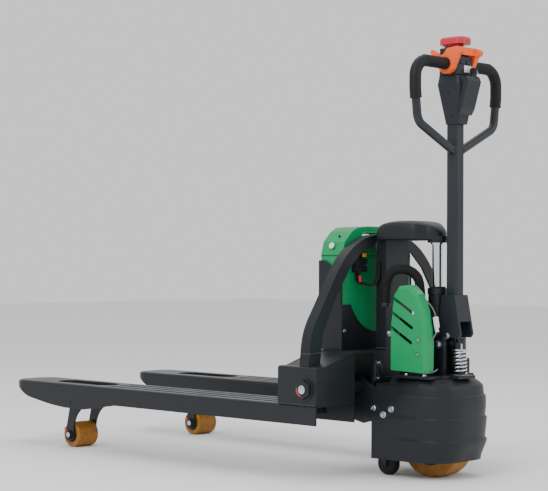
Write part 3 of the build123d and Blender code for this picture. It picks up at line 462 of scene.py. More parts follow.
def rib_inset(height, depth):
    """How far the shroud's back is set in at a height, between the crests of its ribs."""
    for upper, lower in zip(CRESTS, CRESTS[1:] + (0.046,)):
        if lower < height <= upper:
            below = (upper - height) / (upper - lower)
            return depth * min(below / 0.9, (1 - below) / 0.1) if below > 0.9 else depth * below / 0.9
    return depth * 0.9


def shroud_point(angle, height, depth):
    """A point of the shroud's outer wall: straight sides, a blunt round back, shoulders at the top."""
    c, s = cos(angle), sin(angle)
    blunt = (abs(c) ** 2.7 + abs(s) ** 2.7) ** (-1 / 2.7)
    back = max(c, 0.0)
    x_reach, y_reach = SHROUD_BACK - ROUND_X, SHROUD_HALF
    fade = min(1.0, max(0.0, (c + 0.45) / 0.5))
    inset = rib_inset(height, depth) * fade
    taper = 16 * MM * max(0.0, (0.1 - height) / 0.052) * back
    lean = 10 * MM * max(0.0, (height - 0.2) / 0.06) * back
    shoulder_from = 0.222 + 0.032 * min(1.0, max(0.0, (c + 0.35) / 0.5))
    rise = max(0.0, (height - shoulder_from) / (SHROUD_TOP - shoulder_from))
    drop = (26 * MM + 22 * MM * (1 - fade)) * rise ** 1.4
    total = inset + taper * 1.3 + lean + drop
    if c > 0:
        return Vector((ROUND_X + (x_reach * blunt * c) - total * c, (y_reach * blunt - total) * s, height))
    front = (ROUND_X - SHROUD_FRONT)
    run = min(1.0, -c / 0.82)
    flat = min(1.0, abs(s) / 0.572)
    side = 1 if s > 0 else -1
    if run < 1.0:
        return Vector((ROUND_X - front * run, side * (y_reach - total), height))
    return Vector((SHROUD_FRONT, side * (y_reach - total) * flat, height))


class JACK_OT_shroud(Operator):
    """Shape the drive shroud's shell, with its shoulder line and ribs."""

    bl_idname = "jack.shroud"
    bl_label = "Drive shroud"

    def execute(self, context):
        depth = context.scene.jack_sizes.rib_depth
        heights = [SHROUD_FOOT + 0.001]
        heights += [h for h in (0.06, 0.075, 0.09, 0.1, 0.1045, 0.106, 0.112, 0.12, 0.135, 0.15, 0.16,
                                0.1645, 0.166,
                                0.172, 0.18, 0.195, 0.21, 0.22, 0.2245, 0.226, 0.23, 0.236, 0.243, 0.25,
                                0.256, 0.262, 0.268, 0.272)]
        heights.append(SHROUD_TOP)
        angles = [2 * pi * k / 120 for k in range(120)]
        bm = bmesh.new()
        first = bmesh.ops.create_circle(bm, segments=120, radius=1)["verts"]
        for vert, angle in zip(first, angles):
            vert.co = shroud_point(angle, heights[0], depth)
        ring, edges = first, list({e for v in first for e in v.link_edges})
        for height in heights[1:]:
            grown = bmesh.ops.extrude_edge_only(bm, edges=edges)["geom"]
            edges = [item for item in grown if isinstance(item, bmesh.types.BMEdge)]
            ring = [item for item in grown if isinstance(item, bmesh.types.BMVert)]
            for vert in ring:
                low = vert.co.copy()
                angle = min(angles, key=lambda a: (shroud_point(a, previous_height(heights, height), depth)
                                                   - low).length)
                vert.co = shroud_point(angle, height, depth)
        grown = bmesh.ops.extrude_edge_only(bm, edges=edges)["geom"]
        for vert in (item for item in grown if isinstance(item, bmesh.types.BMVert)):
            reach = Vector((vert.co.x - STEER.x, vert.co.y))
            reach *= 66 * MM / reach.length
            vert.co = Vector((STEER.x + reach.x, reach.y, SHROUD_TOP))
        notch = [face for face in bm.faces if face.calc_center_median().x < SHROUD_FRONT + 42 * MM
                 and abs(face.calc_center_median().y) < 99 * MM and face.calc_center_median().z > 0.243]
        bmesh.ops.delete(bm, geom=notch, context="FACES")
        bmesh.ops.recalc_face_normals(bm, faces=bm.faces)
        bmesh.ops.solidify(bm, geom=bm.faces[:], thickness=3 * MM)
        shell = make_piece("shroud_shell", bm, "chassis", "shroud_plastic", sharp=28.0)
        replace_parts(shell, "drive_shroud")
        return {"FINISHED"}


def previous_height(heights, height):
    """The height of the ring below."""
    return heights[heights.index(height) - 1]


class JACK_OT_top_cover(Operator):
    """Shape the crowned cover over the mast head."""

    bl_idname = "jack.top_cover"
    bl_label = "Top cover"

    def execute(self, context):
        low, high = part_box("top_cover")
        half = [(low[0] + x, y) for x,
                y in ((0, 0), (0, 0.03), (0.001, 0.055), (0.008, 0.068), (0.03, 0.072),
                                             (0.08, 0.072), (0.128, 0.0715), (0.141, 0.068), (0.15, 0.057),
                                             (0.1625, 0.041), (0.174, 0.0335), (0.184, 0.024),
                                             (0.19, 0.012),
                                             (0.192, 0))]
        side = smooth_path([(x, y, 0) for x, y in half], 5)
        outline = side + [Vector((p.x, -p.y, 0)) for p in side[-2:0:-1]]
        foot = low[2] + 0.3 * MM
        middle = Vector(((low[0] + high[0]) / 2 - 0.01, 0, 0))
        bm = bmesh.new()
        face = bm.faces.new([bm.verts.new(point) for point in outline])
        shrink = [(0.93, 0.0), (0.985, 4.0), (1.0, 11.0), (1.0, 30.0), (0.99, 38.0), (0.965, 44.0),
                  (0.92, 49.0),
                  (0.85, 52.5), (0.74, 54.6), (0.58, 55.6), (0.36, 56.0), (0.14, 56.1)]
        last = (1.0, 0.0)
        for size, height in shrink:
            if height > 0:
                grown = bmesh.ops.extrude_face_region(bm, geom=[face])["geom"]
                face = next(item for item in grown if isinstance(item, bmesh.types.BMFace))
            verts = list(face.verts)
            bmesh.ops.scale(bm, vec=(size / last[0], size / last[0], 1), verts=verts,
                            space=Matrix.Translation(-middle))
            bmesh.ops.translate(bm, vec=(0, 0, (height - last[1]) * MM), verts=verts)
            last = (size, height)
        for vert in bm.verts:
            along = (vert.co.x - middle.x) / (0.5 * (high[0] - low[0]))
            vert.co.z = foot + vert.co.z * (1 - 0.3 * min(abs(along), 1.1) ** 2.4)
        cover = make_piece("crowned_cover", bm, "fork_frame", "shroud_plastic", sharp=32.0)
        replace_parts(cover, "top_cover")
        return {"FINISHED"}


class JACK_OT_fasteners(Operator):
    """Add washers, studs and the marked nut to the CAD's bolts."""

    bl_idname = "jack.fasteners"
    bl_label = "Fasteners"

    def execute(self, context):
        bm = bmesh.new()
        for side in SIDES.values():
            for x, z in ((21, 189), (58, 173), (86, 190)):
                start = Vector((HEEL_X + x * MM, side * (SHROUD_HALF + 8.1 * MM), z * MM))
                add_rod(bm, start, start + mm(0, side * 2.4, 0), 3.6 * MM, 0.5 * MM, 20)
        make_piece("shroud_bolt_studs", bm, "chassis", "zinc_steel")
        low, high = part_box("shaft_nuts")
        nut = (Vector(low) + Vector(high)) / 2
        bm = bmesh.new()
        for side in SIDES.values():
            outer = Vector((nut.x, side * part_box("heel_box_right")[1][1], nut.z))
            add_rod(bm, outer, outer + mm(0, side * 2.2, 0), 31 * MM, 0.6 * MM, 48)
        make_piece("heel_nut_washers", bm, "lift_linkage", "black_steel")
        bm = bmesh.new()
        for side in SIDES.values():
            foot = Vector((nut.x, side * (high[1] - 14 * MM), nut.z))
            add_rod(bm, foot, foot + mm(0, side * 3, 0), 27 * MM, 0.5 * MM, 48)
            add_hexagon(bm, foot + mm(0, side * 2.5, 0), foot + mm(0, side * 13.1, 0),
                        48 * MM, 1.2 * MM)
        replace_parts(make_piece("heel_nuts", bm, "lift_linkage", "black_steel"), "shaft_nuts")
        bm = bmesh.new()
        for side in SIDES.values():
            face = Vector((nut.x, side * (high[1] - 0.6 * MM), nut.z))
            add_ring(bm, face, (0, side, 0), 15.5 * MM, 1.2 * MM, 8, 40, 0.5)
        make_piece("heel_nut_ends", bm, "lift_linkage", "black_steel")
        bm = bmesh.new()
        for side in SIDES.values():
            face = Vector((nut.x, side * (high[1] - 0.8 * MM), nut.z))
            add_rod(bm, face, face + mm(0, side * 0.7, 0), 12 * MM, 0.3 * MM, 32)
        make_piece("heel_shaft_ends", bm, "lift_linkage", "zinc_steel")
        bm = bmesh.new()
        outer = -(high[1] - 0.9 * MM)
        mark = [Vector((nut.x + 17.5 * MM * cos(a), outer, nut.z + 17.5 * MM * sin(a)))
                for a in (pi * (0.92 + 0.52 * k / 10) for k in range(11))]
        add_sweep(bm, mark, lambda index: (3.6 - 0.2 * abs(index - 4)) * MM, 8)
        bmesh.ops.scale(bm, vec=(1, 0.25, 1), verts=bm.verts, space=Matrix.Translation((0, -outer, 0)))
        make_piece("nut_paint_mark", bm, "lift_linkage", "red_plastic", "paint_mark")
        bm = bmesh.new()
        low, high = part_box("tiller_hinge_bolt")
        hinge = (Vector(low) + Vector(high)) / 2
        for side in SIDES.values():
            face = Vector((hinge.x, side * high[1], hinge.z))
            add_hexagon(bm, face, face + mm(0, side * 6, 0), 17 * MM)
        make_piece("hinge_bolt_heads", bm, "steer_unit", "zinc_steel")
        bm = bmesh.new()
        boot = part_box("tiller_base")[1]
        for side in SIDES.values():
            face = Vector((boot.x - 46 * MM, side * boot.y, hinge.z + 24 * MM))
            add_hexagon(bm, face, face + mm(0, side * 5, 0), 12 * MM)
            add_rod(bm, face, face + mm(0, side * 1.4, 0), 9 * MM, 0.4 * MM, 28)
        make_piece("boot_bolts", bm, "tiller", "zinc_steel")
        bm = bmesh.new()
        for x in (-26, 36):
            spot = Vector((STEER.x + x * MM, -103 * MM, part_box("swivel_base")[0][2] + 8 * MM))
            add_hexagon(bm, spot, spot + mm(0, 0, 5), 10 * MM)
            add_rod(bm, spot, spot + mm(0, 0, 1.2), 7.5 * MM, 0.3 * MM, 24)
        make_piece("base_plate_screws", bm, "steer_unit", "zinc_steel")
        bm = bmesh.new()
        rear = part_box("mast_column")[1][0]
        for z, y in ((392, -38), (392, 38)):
            spot = Vector((HEEL_X, y * MM, z * MM))
            add_hexagon(bm, spot, spot + mm(5, 0, 0), 10 * MM)
            add_rod(bm, spot, spot + mm(1.2, 0, 0), 8 * MM, 0.3 * MM, 24)
        make_piece("mast_panel_bolts", bm, "fork_frame", "zinc_steel")
        if rear <= HEEL_X:
            raise RuntimeError("the mast column does not reach behind the heels")
        return {"FINISHED"}


class JACK_OT_welds(Operator):
    """Lay the weld beads of the frame and the tiller."""

    bl_idname = "jack.welds"
    bl_label = "Weld beads"

    def execute(self, context):
        radius = context.scene.jack_sizes.bead_radius
        bm = bmesh.new()
        box_low, box_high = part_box("heel_box_right")
        for side in SIDES.values():
            outer, inner = side * box_high[1], side * box_low[1]
            add_bead(bm, [Vector((box_low[0] + 4 * MM, outer, FORK_TOP + 1 * MM)),
                          Vector((HEEL_X - 2 * MM, outer, FORK_TOP + 1 * MM))], radius)
            add_bead(bm, [Vector((box_low[0], side * (FORK_Y - 70 * MM), FORK_TOP)),
                          Vector((box_low[0], side * (FORK_Y + 70 * MM), FORK_TOP))], radius)
            add_bead(bm, [Vector((box_low[0] + 2 * MM, inner, FORK_TOP + 8 * MM)),
                          Vector((box_low[0] + 2 * MM, inner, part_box("cross_member")[1][2] - 6 * MM))],
                          radius * 0.9)
        make_piece("heel_welds", bm, "fork_frame", "frame_paint", "weld_metal")
        bm = bmesh.new()
        foot_low, foot_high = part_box("a_frame")
        for side in SIDES.values():
            y = side * (foot_high[1] - 14 * MM)
            add_bead(bm, [Vector((foot_low[0] + 2 * MM, y + side * 10 * MM, 343 * MM)),
                          Vector((foot_high[0], y + side * 10 * MM, 343 * MM)),
                          Vector((foot_high[0] + 1 * MM, y - side * 34 * MM, 345 * MM))], radius)
        make_piece("arch_foot_welds", bm, "fork_frame", "frame_paint", "weld_metal")
        bm = bmesh.new()
        column_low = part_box("mast_column")[0]
        for side in SIDES.values():
            y = side * 50 * MM
            add_bead(bm, [Vector((column_low[0] + 1 * MM, y, 350 * MM)),
                          Vector((HEEL_X - 1 * MM, y, 350 * MM))], radius)
            add_bead(bm, [Vector((column_low[0], y, 628 * MM)), Vector((column_low[0], y, 650 * MM))],
                     radius)
        make_piece("mast_welds", bm, "fork_frame", "frame_paint", "weld_metal")
        bm = bmesh.new()
        for side in SIDES.values():
            ring = [Vector((HEAD.x + 12.6 * MM * cos(a), side * (18.5 + 6 * abs(sin(a)) * 0.2) * MM,
                            (904 + 13.5 * sin(a)) * MM)) for a in (2 * pi * k / 24 for k in range(25))]
            add_sweep(bm, ring, 1.9 * MM, 8)
        make_piece("handle_welds", bm, "tiller", "tiller_paint", "weld_metal")
        bm = bmesh.new()
        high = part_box("battery_pocket")[1]
        seam_x = high[0] + 0.3 * MM
        add_bead(bm, [Vector((seam_x, 96 * MM, 356 * MM)), Vector((seam_x, 96 * MM, 468 * MM))], 2.2 * MM)
        make_piece("pocket_weld", bm, "fork_frame", "frame_paint", "weld_metal")
        return {"FINISHED"}


HOSE_POINTS = ((22, -78, 470), (22, -77, 505), (25, -75, 540), (38, -70, 566), (62, -62, 575),
               (90, -52, 570),
               (112, -46, 550), (120, -44.5, 515), (122, -44.5, 480))


class JACK_OT_hose(Operator):
    """Sleeve the power hose and run the signal lead beside the cover."""

    bl_idname = "jack.hose"
    bl_label = "Hose and lead"

    def execute(self, context):
        sizes = context.scene.jack_sizes
        points = [(HEEL_X + x * MM, y * MM, z * MM) for x, y, z in HOSE_POINTS]
        path = smooth_path(points, 26)
        length = sum((b - a).length for a, b in zip(path, path[1:]))
        rings = int(length / sizes.sleeve_pitch)
        per_ring = 5
        even = []
        for step in range(rings * per_ring + 1):
            goal = length * step / (rings * per_ring)
            for a, b in zip(path, path[1:]):
                span = (b - a).length
                if goal <= span or b is path[-1]:
                    even.append(a.lerp(b, min(goal / span, 1.0)))
                    break
                goal -= span
        bm = bmesh.new()
        add_sweep(bm, even, lambda i: (13.2 + 0.8 * cos(2 * pi * i / per_ring)) * MM, 28)
        sleeve = make_piece("hose_sleeve", bm, "steer_unit", "black_sleeve")
        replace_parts(sleeve, "power_hose")
        bm = bmesh.new()
        for index, turn in ((0, 1), (-1, -1)):
            ahead = (even[1] - even[0]) if index == 0 else (even[-1] - even[-2])
            add_rod(bm, even[index], even[index] + turn * ahead.normalized() * 10 * MM, 14.0 * MM,
                    0.8 * MM, 32)
        make_piece("hose_cuffs", bm, "steer_unit", "tiller_plastic")
        lead = smooth_path([(HEEL_X + x * MM, y * MM, z * MM) for x, y, z in (
            (150, -72, 500), (178, -72, 476), (192, -73, 458), (199, -74, 436), (202, -75, 408),
            (196, -84, 386),
            (190, -92, 366), (186, -99, 345), (186, -101, 322), (192, -97, 303), (200, -84, 297),
            (200, -70, 302))], 8)
        bm = bmesh.new()
        add_sweep(bm, lead, sizes.lead_radius, 12)
        make_piece("signal_lead", bm, "steer_unit", "black_sleeve", "grey_cable")
        bm = bmesh.new()
        tilt = Matrix.Rotation(-0.18, 4, "Y")
        add_box(bm, (HEEL_X + 194 * MM, -80 * MM, 416 * MM), (HEEL_X + 205 * MM, -68 * MM, 446 * MM),
                1.5 * MM, tilt)
        add_box(bm, (HEEL_X + 198 * MM, -79 * MM, 404 * MM), (HEEL_X + 206 * MM, -70 * MM, 418 * MM),
                1 * MM, tilt)
        make_piece("lead_connector", bm, "steer_unit", "zinc_steel", "white_plastic")
        return {"FINISHED"}


class JACK_OT_battery(Operator):
    """Dress the battery, its plug and its pocket."""

    bl_idname = "jack.battery"
    bl_label = "Battery"

    def execute(self, context):
        low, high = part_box("battery_case")
        end_y = low[1]
        mid_x = (low[0] + high[0]) / 2
        bm = bmesh.new()
        for side in SIDES.values():
            face = Vector((mid_x, side * (high[1] - 1.5 * MM), 640 * MM))
            tilt = Vector((0, side * cos(0.29), sin(0.29)))
            add_rod(bm, face, face + tilt * 4.5 * MM, 9 * MM, 1 * MM, 32)
        make_piece("battery_caps", bm, "battery", "green_plastic", "white_plastic")
        # Painted shade of the battery's slots and hole: near-black pieces laid where the recesses are.
        bm = bmesh.new()
        for side in SIDES.values():
            face = Vector((mid_x, side * (high[1] + 3.0 * MM - 1.5 * MM), 641.4 * MM))
            add_box(bm, face - mm(7, 0.6, 0.9), face + mm(7, 0.6, 0.9),
                    0.2 * MM, Matrix.Rotation(side * 0.29, 4, "X"))
            face = Vector((mid_x + 8 * MM, side * (high[1] - 24 * MM), 666.5 * MM))
            tilt = Vector((0, side * 0.6, 0.8))
            add_rod(bm, face, face + tilt * 3.2 * MM, 3.2 * MM, 0.3 * MM, 24)
        make_piece("battery_slot_shade", bm, "battery", "green_plastic", "painted_recess_shade")
        # Painted shade along the battery lid's seam: thin near-black strips round the case.
        bm = bmesh.new()
        for z in (612,):
            for side in SIDES.values():
                add_box(bm, (low[0] - 0.4 * MM, side * (high[1] + 0.4 * MM) - 0.4 * MM, (z - 0.8) * MM),
                        (high[0] + 0.4 * MM, side * (high[1] + 0.4 * MM) + 0.4 * MM, (z + 0.8) * MM))
            for x in (low[0], high[0]):
                add_box(bm, (x - 0.4 * MM, low[1] - 0.2 * MM, (z - 0.8) * MM),
                        (x + 0.4 * MM, high[1] + 0.2 * MM, (z + 0.8) * MM))
        make_piece("battery_lid_seam_shade", bm, "battery", "green_plastic", "painted_recess_shade")
        bm = bmesh.new()
        for x in (low[0], high[0]):
            add_ring_slot(bm, x, 664 * MM, 70 * MM, 15 * MM, 2.6 * MM)
        make_piece("battery_handle_lips", bm, "battery", "green_plastic")
        bm = bmesh.new()
        for y in (-118, -88, -58, 58, 88, 118):
            for x, out in ((low[0], -1), (high[0], 1)):
                if out > 0 and y < 0:
                    continue
                add_box(bm, (x - 1 * MM, (y - 5) * MM, 615 * MM), (x + 1 * MM, (y + 5) * MM, 628 * MM),
                        0.8 * MM)
        make_piece("battery_lid_clips", bm, "battery", "green_plastic")
        plug_low, plug_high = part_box("battery_connector")
        bm = bmesh.new()
        for k in range(6):
            y = plug_low[1] + (5 + k * 8) * MM
            add_box(bm, (plug_high[0] - 1 * MM, y - 1.4 * MM, 569 * MM),
                    (plug_high[0] + 1.6 * MM, y + 1.4 * MM,
                                                                       601 * MM), 0.6 * MM)
        make_piece("plug_ribs", bm, "fork_frame", "shroud_plastic")
        bm = bmesh.new()
        add_box(bm, (plug_high[0] - 5 * MM, -80 * MM, 608.5 * MM),
                (plug_high[0] - 1.6 * MM, -64 * MM, 620 * MM), 1 * MM)
        make_piece("plug_latch", bm, "fork_frame", "orange_plastic", "amber_latch")
        bm = bmesh.new()
        spot = Vector((plug_high[0] + 1 * MM, -70 * MM, 585 * MM))
        add_rod(bm, spot, spot + mm(2.4, 0, 0), 4 * MM, 0.8 * MM, 24)
        make_piece("plug_screw", bm, "fork_frame", "zinc_steel")
        bm = bmesh.new()
        path = smooth_path([(plug_high[0] - 7 * MM + x * MM, y * MM, z * MM) for x, y, z in (
            (9.1, -98, 556), (9.1, -98, 549), (9.1, -97.4, 543.5), (9.1, -95.4, 538.8))], 8)
        add_sweep(bm, path, 4.3 * MM, 14)
        make_piece("plug_red_lead", bm, "fork_frame", "red_plastic")
        pocket_low, pocket_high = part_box("battery_pocket")
        bm = bmesh.new()
        for y in (-146, 146):
            spot = Vector((pocket_high[0], y * MM, 400 * MM))
            add_rod(bm, spot, spot + mm(3.2, 0, 0), 6 * MM, 1.2 * MM, 24)
            spot = Vector((pocket_low[0], y * MM, 560 * MM))
            add_rod(bm, spot, spot - mm(3.0, 0, 0), 6 * MM, 1.2 * MM, 24)
            spot = Vector((pocket_low[0], y * MM, 380 * MM))
            add_rod(bm, spot, spot - mm(3.0, 0, 0), 6 * MM, 1.2 * MM, 24)
        make_piece("pocket_rivets", bm, "fork_frame", "zinc_steel")
        bm = bmesh.new()
        spot = Vector((pocket_high[0], 96 * MM, 352 * MM))
        add_hexagon(bm, spot, spot + mm(5, 0, 0), 12 * MM)
        add_rod(bm, spot + mm(5, 0, 0), spot + mm(9, 0, 0), 5 * MM, 2.5 * MM, 24, tip=4 * MM)
        make_piece("pocket_dome_nut", bm, "fork_frame", "zinc_steel")
        if end_y >= 0:
            raise RuntimeError("the battery is not centred")
        return {"FINISHED"}


def add_ring_slot(bm, x, z, half, radius, wire):
    """A rounded rim round the battery's hand slot."""
    path = []
    straight = half - radius
    for k in range(13):
        a = -pi / 2 + pi * k / 12
        path.append(Vector((x, straight + radius * cos(a), z + radius * sin(a))))
    for k in range(13):
        a = pi / 2 + pi * k / 12
        path.append(Vector((x, -straight + radius * cos(a), z + radius * sin(a))))
    path.append(path[0].copy())
    add_sweep(bm, path, wire, 10)


class JACK_OT_tiller(Operator):
    """Dress the tiller head: label, screws, key ring, grip collars and painted shade along its seam."""

    bl_idname = "jack.tiller"
    bl_label = "Tiller"

    def execute(self, context):
        head_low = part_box("tiller_head")[0]
        rear_x = head_low[0] + 69.5 * MM
        bm = bmesh.new()
        add_box(bm, (rear_x - 1 * MM, -6 * MM, 1117 * MM), (rear_x + 0.7 * MM, 26 * MM, 1136 * MM),
                0.3 * MM)
        make_piece("head_label", bm, "tiller", "tiller_plastic", "label_film")
        key_low, key_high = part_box("key")
        key_mid = (Vector(key_low) + Vector(key_high)) / 2
        bm = bmesh.new()
        add_ring(bm, (key_mid.x - 1 * MM, key_mid.y + 13 * MM, key_high[2] - 8 * MM), (1, 0.2, 0.3),
                 8 * MM, 0.8 * MM, 8, 36)
        make_piece("key_ring", bm, "ignition_key", "zinc_steel")
        bm = bmesh.new()
        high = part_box("key_switch")[1]
        for y in (-20, 20):
            spot = Vector((high[0] - 11 * MM, y * MM, 1098.5 * MM))
            add_rod(bm, spot, spot + mm(0, 0, 5.8), 3 * MM, 0.4 * MM, 20)
        make_piece("key_box_screws", bm, "tiller", "zinc_steel")
        bm = bmesh.new()
        add_ring(bm, (key_mid.x, key_mid.y, high[2]), (0, 0, 1), 11.5 * MM, 1.6 * MM, 10, 40, 0.8)
        make_piece("key_collar", bm, "tiller", "tiller_plastic")
        bm = bmesh.new()
        for side in SIDES.values():
            add_ring(bm, (HEAD_X(), side * 53 * MM, 1140 * MM), (0, 1, 0), 15.4 * MM, 1.8 * MM, 10, 40)
            add_ring(bm, (HEAD_X(), side * 178.4 * MM, 1037 * MM), (0, side * 0.12, 1), 15.2 * MM,
                     1.8 * MM, 10, 40)
        make_piece("grip_collars", bm, "tiller", "black_rubber")
        bm = bmesh.new()
        for side in SIDES.values():
            for k in range(16):
                y = side * (62 + 5.5 * k) * MM
                add_ring(bm, (HEAD_X(), y, 1140 * MM), (0, 1, 0), 15.75 * MM, 0.7 * MM, 6, 32)
        make_piece("grip_rings", bm, "tiller", "black_rubber")
        # Painted shade along the tiller head's seam: a thin near-black strip.
        bm = bmesh.new()
        add_box(bm, (head_low[0] + 4 * MM, -34 * MM, 1108.5 * MM),
                (head_low[0] + 72 * MM, 34 * MM, 1110 * MM), 0.5 * MM)
        make_piece("head_seam_shade", bm, "tiller", "tiller_plastic", "painted_recess_shade")
        bm = bmesh.new()
        for side in SIDES.values():
            for z in (1000, 1060):
                half = 23 * MM + (z - 975) / 109 * 17 * MM
                spot = Vector((HEAD_X(), side * half, z * MM))
                add_rod(bm, spot - mm(0, side * 1, 0), spot + mm(0, side * 0.8, 0), 4 * MM,
                        0.4 * MM, 20)
        make_piece("head_side_screws", bm, "tiller", "black_steel")
        bm = bmesh.new()
        cap_low, cap_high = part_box("belly_button")
        add_ring(bm, ((cap_low[0] + cap_high[0]) / 2, 0, cap_high[2] - 0.8 * MM), (0, 0, 1), 20 * MM,
                 0.8 * MM, 8, 48)
        make_piece("button_top_ring", bm, "emergency_button", "red_plastic")
        bm = bmesh.new()
        add_ring(bm, (HEAD_X() - 6 * MM, 0, HEAD_TOP + 1 * MM), (0, 0, 1), 24 * MM, 5 * MM, 10, 48, 0.7)
        make_piece("button_boot", bm, "tiller", "black_rubber")
        bm = bmesh.new()
        for side in SIDES.values():
            spot = Vector((HEAD_X(), side * 49.5 * MM, 1140 * MM))
            add_ring(bm, spot, (0, 1, 0), 22 * MM, 1.2 * MM, 8, 48)
        make_piece("throttle_rims", bm, "throttle_wings", "orange_plastic")
        return {"FINISHED"}


def HEAD_X():
    """X of the handle tubes."""
    return centre("handle_grips").x


class JACK_OT_spring(Operator):
    """Add the washers of the tiller return spring, the rod's wiper and the barrel's bands."""

    bl_idname = "jack.spring"
    bl_label = "Spring and rod"

    def execute(self, context):
        low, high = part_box("return_spring")
        middle = (Vector(low) + Vector(high)) / 2
        bm = bmesh.new()
        add_rod(bm, (middle.x, 0, high[2] + 0.1 * MM), (middle.x, 0, high[2] + 2.2 * MM), 21.5 * MM,
                0.5 * MM, 40)
        make_piece("spring_top_washer", bm, "tiller_plunger", "zinc_steel")
        bm = bmesh.new()
        add_ring(bm, (middle.x, 0, low[2] - 1.2 * MM), (0, 0, 1), 15.5 * MM, 5.5 * MM, 10, 40, 0.25)
        make_piece("spring_foot_washer", bm, "steer_unit", "zinc_steel")
        barrel_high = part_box("lift_cylinder")[1]
        bm = bmesh.new()
        add_ring(bm, (STEER.x, 0, barrel_high[2] + 1.5 * MM), (0, 0, 1), 19.5 * MM, 4 * MM, 10, 48, 0.7)
        make_piece("rod_wiper", bm, "steer_unit", "black_rubber")
        bm = bmesh.new()
        for z in (300, 440, 508):
            add_ring(bm, (STEER.x, 0, z * MM), (0, 0, 1), 27.4 * MM, 1.4 * MM, 8, 56)
        make_piece("barrel_bands", bm, "steer_unit", "black_steel")
        return {"FINISHED"}


class JACK_OT_rollers(Operator):
    """Finish the rollers, casters and drive wheel with hubs, rings and caps."""

    bl_idname = "jack.rollers"
    bl_label = "Rollers and wheels"

    def execute(self, context):
        for name in SIDES:
            low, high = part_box(f"load_roller_{name}")
            mid = (Vector(low) + Vector(high)) / 2
            bm = bmesh.new()
            for end in (low[1], high[1]):
                out = 1 if end > mid.y else -1
                add_ring(bm, (mid.x, end - out * 0.6 * MM, mid.z), (0, 1, 0), 23 * MM, 2.4 * MM, 8, 48, 0.9)
                add_ring(bm, (mid.x, end - out * 0.4 * MM, mid.z), (0, 1, 0), 15 * MM, 3.6 * MM, 8, 48,
                         0.45)
            make_piece(f"roller_hub_rings_{name}", bm, f"roller_{name}", "black_steel")
            bm = bmesh.new()
            leg_low, leg_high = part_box(f"roller_frame_{name}")
            for end in (leg_low[1], leg_high[1]):
                out = 1 if end > mid.y else -1
                start = Vector((mid.x, end, mid.z))
                add_rod(bm, start - mm(0, out * 1.5, 0), start + mm(0, out * 1.2, 0),
                        8.6 * MM, 0.8 * MM, 32)
            make_piece(f"roller_axle_ends_{name}", bm, f"leg_{name}", "zinc_steel")
            bm = bmesh.new()
            for end in (leg_low[1], leg_high[1]):
                out = 1 if end > mid.y else -1
                add_ring(bm, (mid.x, end - out * 3.5 * MM, mid.z), (0, 1, 0), 13 * MM, 2.2 * MM, 8, 40, 0.9)
            make_piece(f"roller_circlips_{name}", bm, f"leg_{name}", "black_steel")
            bm = bmesh.new()
            tab = Vector((mid.x, leg_low[1] + 5 * MM, mid.z))
            add_box(bm, tab + mm(-25, -1.2, 10), tab + mm(-7, 1.2, 17), 0.6 * MM,
                    Matrix.Rotation(0.7, 4, "Y"))
            make_piece(f"roller_pin_tab_{name}", bm, f"leg_{name}", "red_plastic", "paint_mark")
            low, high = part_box(f"caster_wheel_{name}")
            mid = (Vector(low) + Vector(high)) / 2
            bm = bmesh.new()
            for end in (low[1], high[1]):
                out = 1 if end > mid.y else -1
                add_ring(bm, (mid.x, end - out * 0.3 * MM, mid.z), (0, 1, 0), 14 * MM, 2 * MM, 8, 40)
            make_piece(f"caster_hub_rings_{name}", bm, f"caster_roll_{name}", "black_steel")
        low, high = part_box("drive_tyre")
        bm = bmesh.new()
        for end, out in ((low[1], -1), (high[1], 1)):
            add_ring(bm, (STEER.x, end, STEER.z), (0, 1, 0), 70 * MM, 2 * MM, 8, 72)
            for k in range(6):
                a = 2 * pi * k / 6 + pi / 6
                spot = Vector((STEER.x + 30 * MM * cos(a), end, STEER.z + 30 * MM * sin(a)))
                add_hexagon(bm, spot, spot + mm(0, out * 3.0, 0), 10 * MM)
        make_piece("drive_hub_nuts", bm, "drive_wheel", "cast_hub")
        return {"FINISHED"}


class JACK_OT_frame_details(Operator):
    """Add the cover screws' rims and crosses of painted shade, and the switch's body and screws."""

    bl_idname = "jack.frame_details"
    bl_label = "Frame details"

    def execute(self, context):
        low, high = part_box("cover_screws")
        bm = bmesh.new()
        for z in (383, 343):
            spot = Vector(((low[0] + high[0]) / 2, low[1] + 0.4 * MM, z * MM))
            add_ring(bm, spot + mm(0, -0.3, 0), (0, 1, 0), 7.4 * MM, 0.8 * MM, 8, 36)
        make_piece("cover_screw_rims", bm, "steer_unit", "green_plastic")
        # Painted shade in the cover screws' cross recesses: thin near-black bars.
        bm = bmesh.new()
        for z in (383, 343):
            spot = Vector(((low[0] + high[0]) / 2, low[1] - 0.1 * MM, z * MM))
            for turn in (0.4, 0.4 + pi / 2):
                add_box(bm, spot - mm(3.2, 0.3, 0.6), spot + mm(3.2, 0.3, 0.6),
                        0.1 * MM, Matrix.Rotation(turn, 4, "Y"))
        make_piece("cover_screw_cross_shade", bm, "steer_unit", "zinc_steel", "painted_recess_shade")
        low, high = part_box("limit_switch")
        bm = bmesh.new()
        add_box(bm, (high[0], low[1] + 3 * MM, low[2] + 18 * MM),
                (high[0] + 9 * MM, high[1] - 3 * MM, high[2] - 14 * MM),
                1.2 * MM)
        make_piece("switch_body", bm, "fork_frame", "black_steel")
        bm = bmesh.new()
        for z in (low[2] + 6 * MM, high[2] - 6 * MM):
            spot = Vector((high[0], (low[1] + high[1]) / 2, z))
            add_rod(bm, spot, spot + mm(2.4, 0, 0), 3.6 * MM, 0.5 * MM, 20)
        make_piece("switch_screws", bm, "fork_frame", "zinc_steel")
        return {"FINISHED"}


